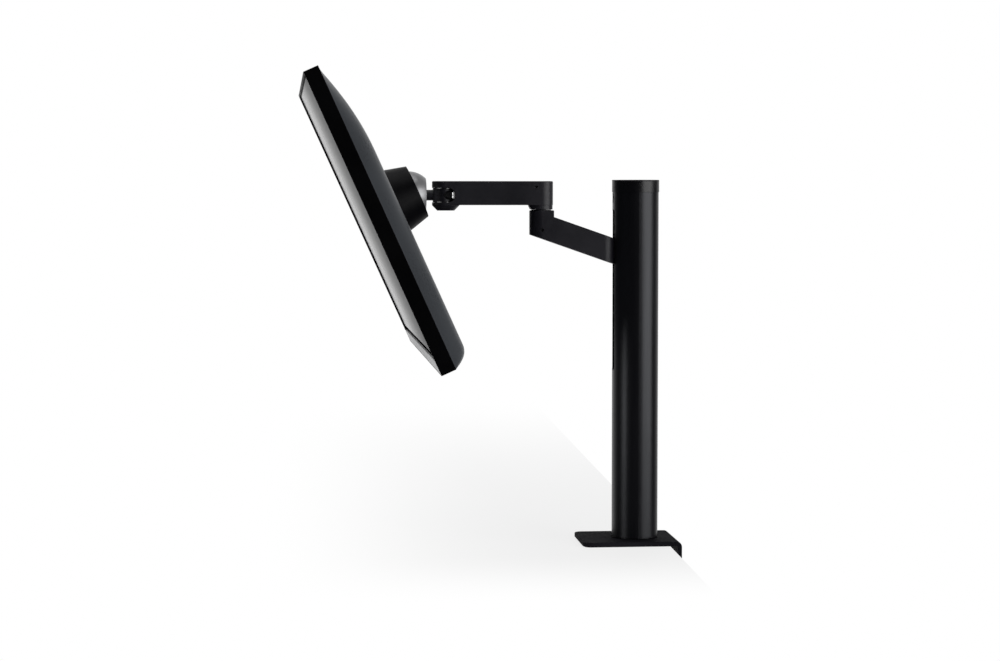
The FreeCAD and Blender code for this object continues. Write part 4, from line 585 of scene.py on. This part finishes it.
def make_sockets():
    """A folded metal shell in each opening, with a dark base and tongue inside it."""
    low, high = local_box("port_panel")
    left, floor, middle = low.x, low.y, (low.z + high.z) / 2
    back, front = floor + SOCKET_LIFT, floor + SOCKET_REACH
    shells, cores = bmesh.new(), bmesh.new()
    for offset, half_wide, half_tall, roundness in SOCKETS:
        x = left + offset
        wide, tall = half_wide - SOCKET_PLAY, half_tall - SOCKET_PLAY
        radius = roundness * tall

        def shrunk(by, round_share, y):
            return loop(x, middle, wide - by, tall - by, radius * round_share, y)

        def tongue_ring(wide_share, half_thick, corner, y):
            return loop(x, middle, wide * wide_share, half_thick, corner, y)

        skin(
            shells,
            [
                shrunk(0, 1, back),
                shrunk(0, 1, front - SOCKET_LIP),
                shrunk(SOCKET_LIP, 0.9, front),
                shrunk(SOCKET_WALL, 0.8, front - SOCKET_LIP),
                shrunk(SOCKET_WALL, 0.8, back + CORE_LIFT),
            ],
        )
        core_top = back + CORE_LIFT + CORE_THICK
        skin(
            cores,
            [
                shrunk(SOCKET_WALL, 0.8, back + CORE_LIFT + CORE_GAP),
                shrunk(SOCKET_WALL, 0.8, core_top),
            ],
        )
        tongue = max(0.28 * tall, 0.45 * MM)
        reach = front - TONGUE_SHORT
        skin(
            cores,
            [
                tongue_ring(0.72, tongue, tongue * 0.4, core_top),
                tongue_ring(0.72, tongue, tongue * 0.4, reach),
                tongue_ring(0.68, tongue * 0.7, tongue * 0.3, reach + TONGUE_TIP),
            ],
        )
    for name, mesh, look in (
        ("socket_shells", shells, "steel"),
        ("socket_tongues", cores, "black_cap"),
    ):
        bmesh.ops.recalc_face_normals(mesh, faces=mesh.faces)
        data = bpy.data.meshes.new(name)
        mesh.to_mesh(data)
        mesh.free()
        data.transform(to_display)
        smooth(data)
        piece = new_piece(name, data)
        paint(piece, LOOKS[look])
        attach(piece, "display")


make_sockets()


# ---------------------------------------------------------------- stage, light and camera

WHITE = (1, 1, 1, 1)

DESK_THICK = 28 * MM
DESK_UNDER = 0.05 * MM
DESK_REACH = (-2.4, 1.2)
DESK_FRONT = -1.5
DESK_REAR = 38.6 * MM
DESK_SKEW = 0.0240
DESK_TONES = ((0.59, 0.59, 0.59, 1), (0.61, 0.61, 0.61, 1))
DESK_STRENGTH = 0.22
FADE_FAR = (-2.0, 0.05)
FADE_NEAR = (0.08, 0.42)
FADE_FRONT = (-0.46, -0.08)

ROOM_TURN = (-0.95, -0.25)
ROOM_LEVEL = (0.95, 0.02)

# name, place, target, width, height, watts
LIGHTS = (
    ("strip", (1.55, 2.1, 0.75), (0, 0, 0.25), 2.7, 2.2, 66),
    ("overhead", (0.1, -0.3, 2.6), (0, -0.2, 0.2), 2.0, 2.0, 20),
    ("fill", (1.18, -2.32, 0.3), (0, -0.1, 0.15), 0.9, 1.0, 12),
)

CAMERA_PLACE = (2.8035, -0.4370, 0.4308)
CAMERA_YAW = 5.4765
CAMERA_PITCH = -3.3945
CAMERA_LENS = 82.42
CAMERA_SENSOR = 36


def make_desk():
    """A pale desk top held by the clamp, which fades into the white room away from the post."""
    low = (DESK_REACH[0], DESK_FRONT, -DESK_THICK)
    high = (DESK_REACH[1], DESK_REAR, -DESK_UNDER)
    desk = new_piece("desk_top", box_mesh(low, high))
    for vertex in desk.data.vertices:
        if vertex.co.y > 0:
            vertex.co.y -= DESK_SKEW * vertex.co.x
    material = bpy.data.materials.new("pale_desk")
    material.use_nodes = True
    tree = material.node_tree
    tree.nodes.clear()
    out = add(tree, "ShaderNodeOutputMaterial")
    surface = add(tree, "ShaderNodeBsdfPrincipled")
    surface.inputs["Roughness"].default_value = 0.6
    places = add(tree, "ShaderNodeTexCoord").outputs["Object"]
    grain = noise(tree, places, 30, detail=4.0)
    link(tree, mix_colour(tree, grain, *DESK_TONES), surface.inputs["Base Color"])
    glow = add(tree, "ShaderNodeEmission", strength=1.0, color=WHITE)
    parts = add(tree, "ShaderNodeSeparateXYZ")
    link(tree, places, parts.inputs[0])
    behind = map_range(tree, parts.outputs["X"], *FADE_FAR, 0.0, 1.0)
    ahead = map_range(tree, parts.outputs["X"], *FADE_NEAR, 1.0, 0.0)
    front = map_range(tree, parts.outputs["Y"], *FADE_FRONT, 0.0, 1.0)
    fade = math_node(tree, "MULTIPLY", math_node(tree, "MULTIPLY", behind, ahead), front)
    shown = math_node(tree, "MULTIPLY", fade, DESK_STRENGTH)
    mix = add(tree, "ShaderNodeMixShader")
    link(tree, shown, mix.inputs[0])
    link(tree, glow.outputs[0], mix.inputs[1])
    link(tree, surface.outputs[0], mix.inputs[2])
    link(tree, mix.outputs[0], out.inputs["Surface"])
    paint(desk, material)
    desk.visible_glossy = False


def soft_light(name, place, target, width, height, power):
    data = bpy.data.lights.new(name, "AREA")
    data.shape = "RECTANGLE"
    data.size, data.size_y = width, height
    data.energy = power
    lamp = bpy.data.objects.new(name, data)
    bpy.context.scene.collection.objects.link(lamp)
    lamp.location = place
    aim = Vector(target) - Vector(place)
    lamp.rotation_mode = "QUATERNION"
    lamp.rotation_quaternion = aim.to_track_quat("-Z", "Y")
    lamp.visible_camera = False


def make_room():
    """White to the camera; as light it is bright beyond the arm and dim on the near side."""
    world = bpy.data.worlds.new("room")
    bpy.context.scene.world = world
    world.use_nodes = True
    tree = world.node_tree
    tree.nodes.clear()
    out = add(tree, "ShaderNodeOutputWorld")
    around = add(tree, "ShaderNodeTexCoord").outputs["Generated"]
    parts = add(tree, "ShaderNodeSeparateXYZ")
    link(tree, around, parts.inputs[0])
    level = map_range(tree, parts.outputs["X"], *ROOM_TURN, *ROOM_LEVEL)
    lit = add(tree, "ShaderNodeBackground", color=WHITE)
    link(tree, level, lit.inputs["Strength"])
    seen = add(tree, "ShaderNodeBackground", color=WHITE)
    path = add(tree, "ShaderNodeLightPath")
    mix = add(tree, "ShaderNodeMixShader")
    link(tree, path.outputs["Is Camera Ray"], mix.inputs[0])
    link(tree, lit.outputs[0], mix.inputs[1])
    link(tree, seen.outputs[0], mix.inputs[2])
    link(tree, mix.outputs[0], out.inputs["Surface"])


def make_camera():
    data = bpy.data.cameras.new("view")
    data.sensor_width = CAMERA_SENSOR
    data.lens = CAMERA_LENS
    camera = bpy.data.objects.new("view", data)
    bpy.context.scene.collection.objects.link(camera)
    camera.location = CAMERA_PLACE
    yaw, pitch = math.radians(CAMERA_YAW), math.radians(CAMERA_PITCH)
    level = math.cos(pitch)
    heading = Vector((-math.cos(yaw) * level, math.sin(yaw) * level, math.sin(pitch)))
    camera.rotation_mode = "QUATERNION"
    camera.rotation_quaternion = heading.to_track_quat("-Z", "Y")
    bpy.context.scene.camera = camera


make_desk()
make_room()
for light in LIGHTS:
    soft_light(*light)
make_camera()
bpy.context.scene.view_settings.view_transform = "Standard"
bpy.context.scene.view_settings.look = "None"

bpy.context.view_layer.update()
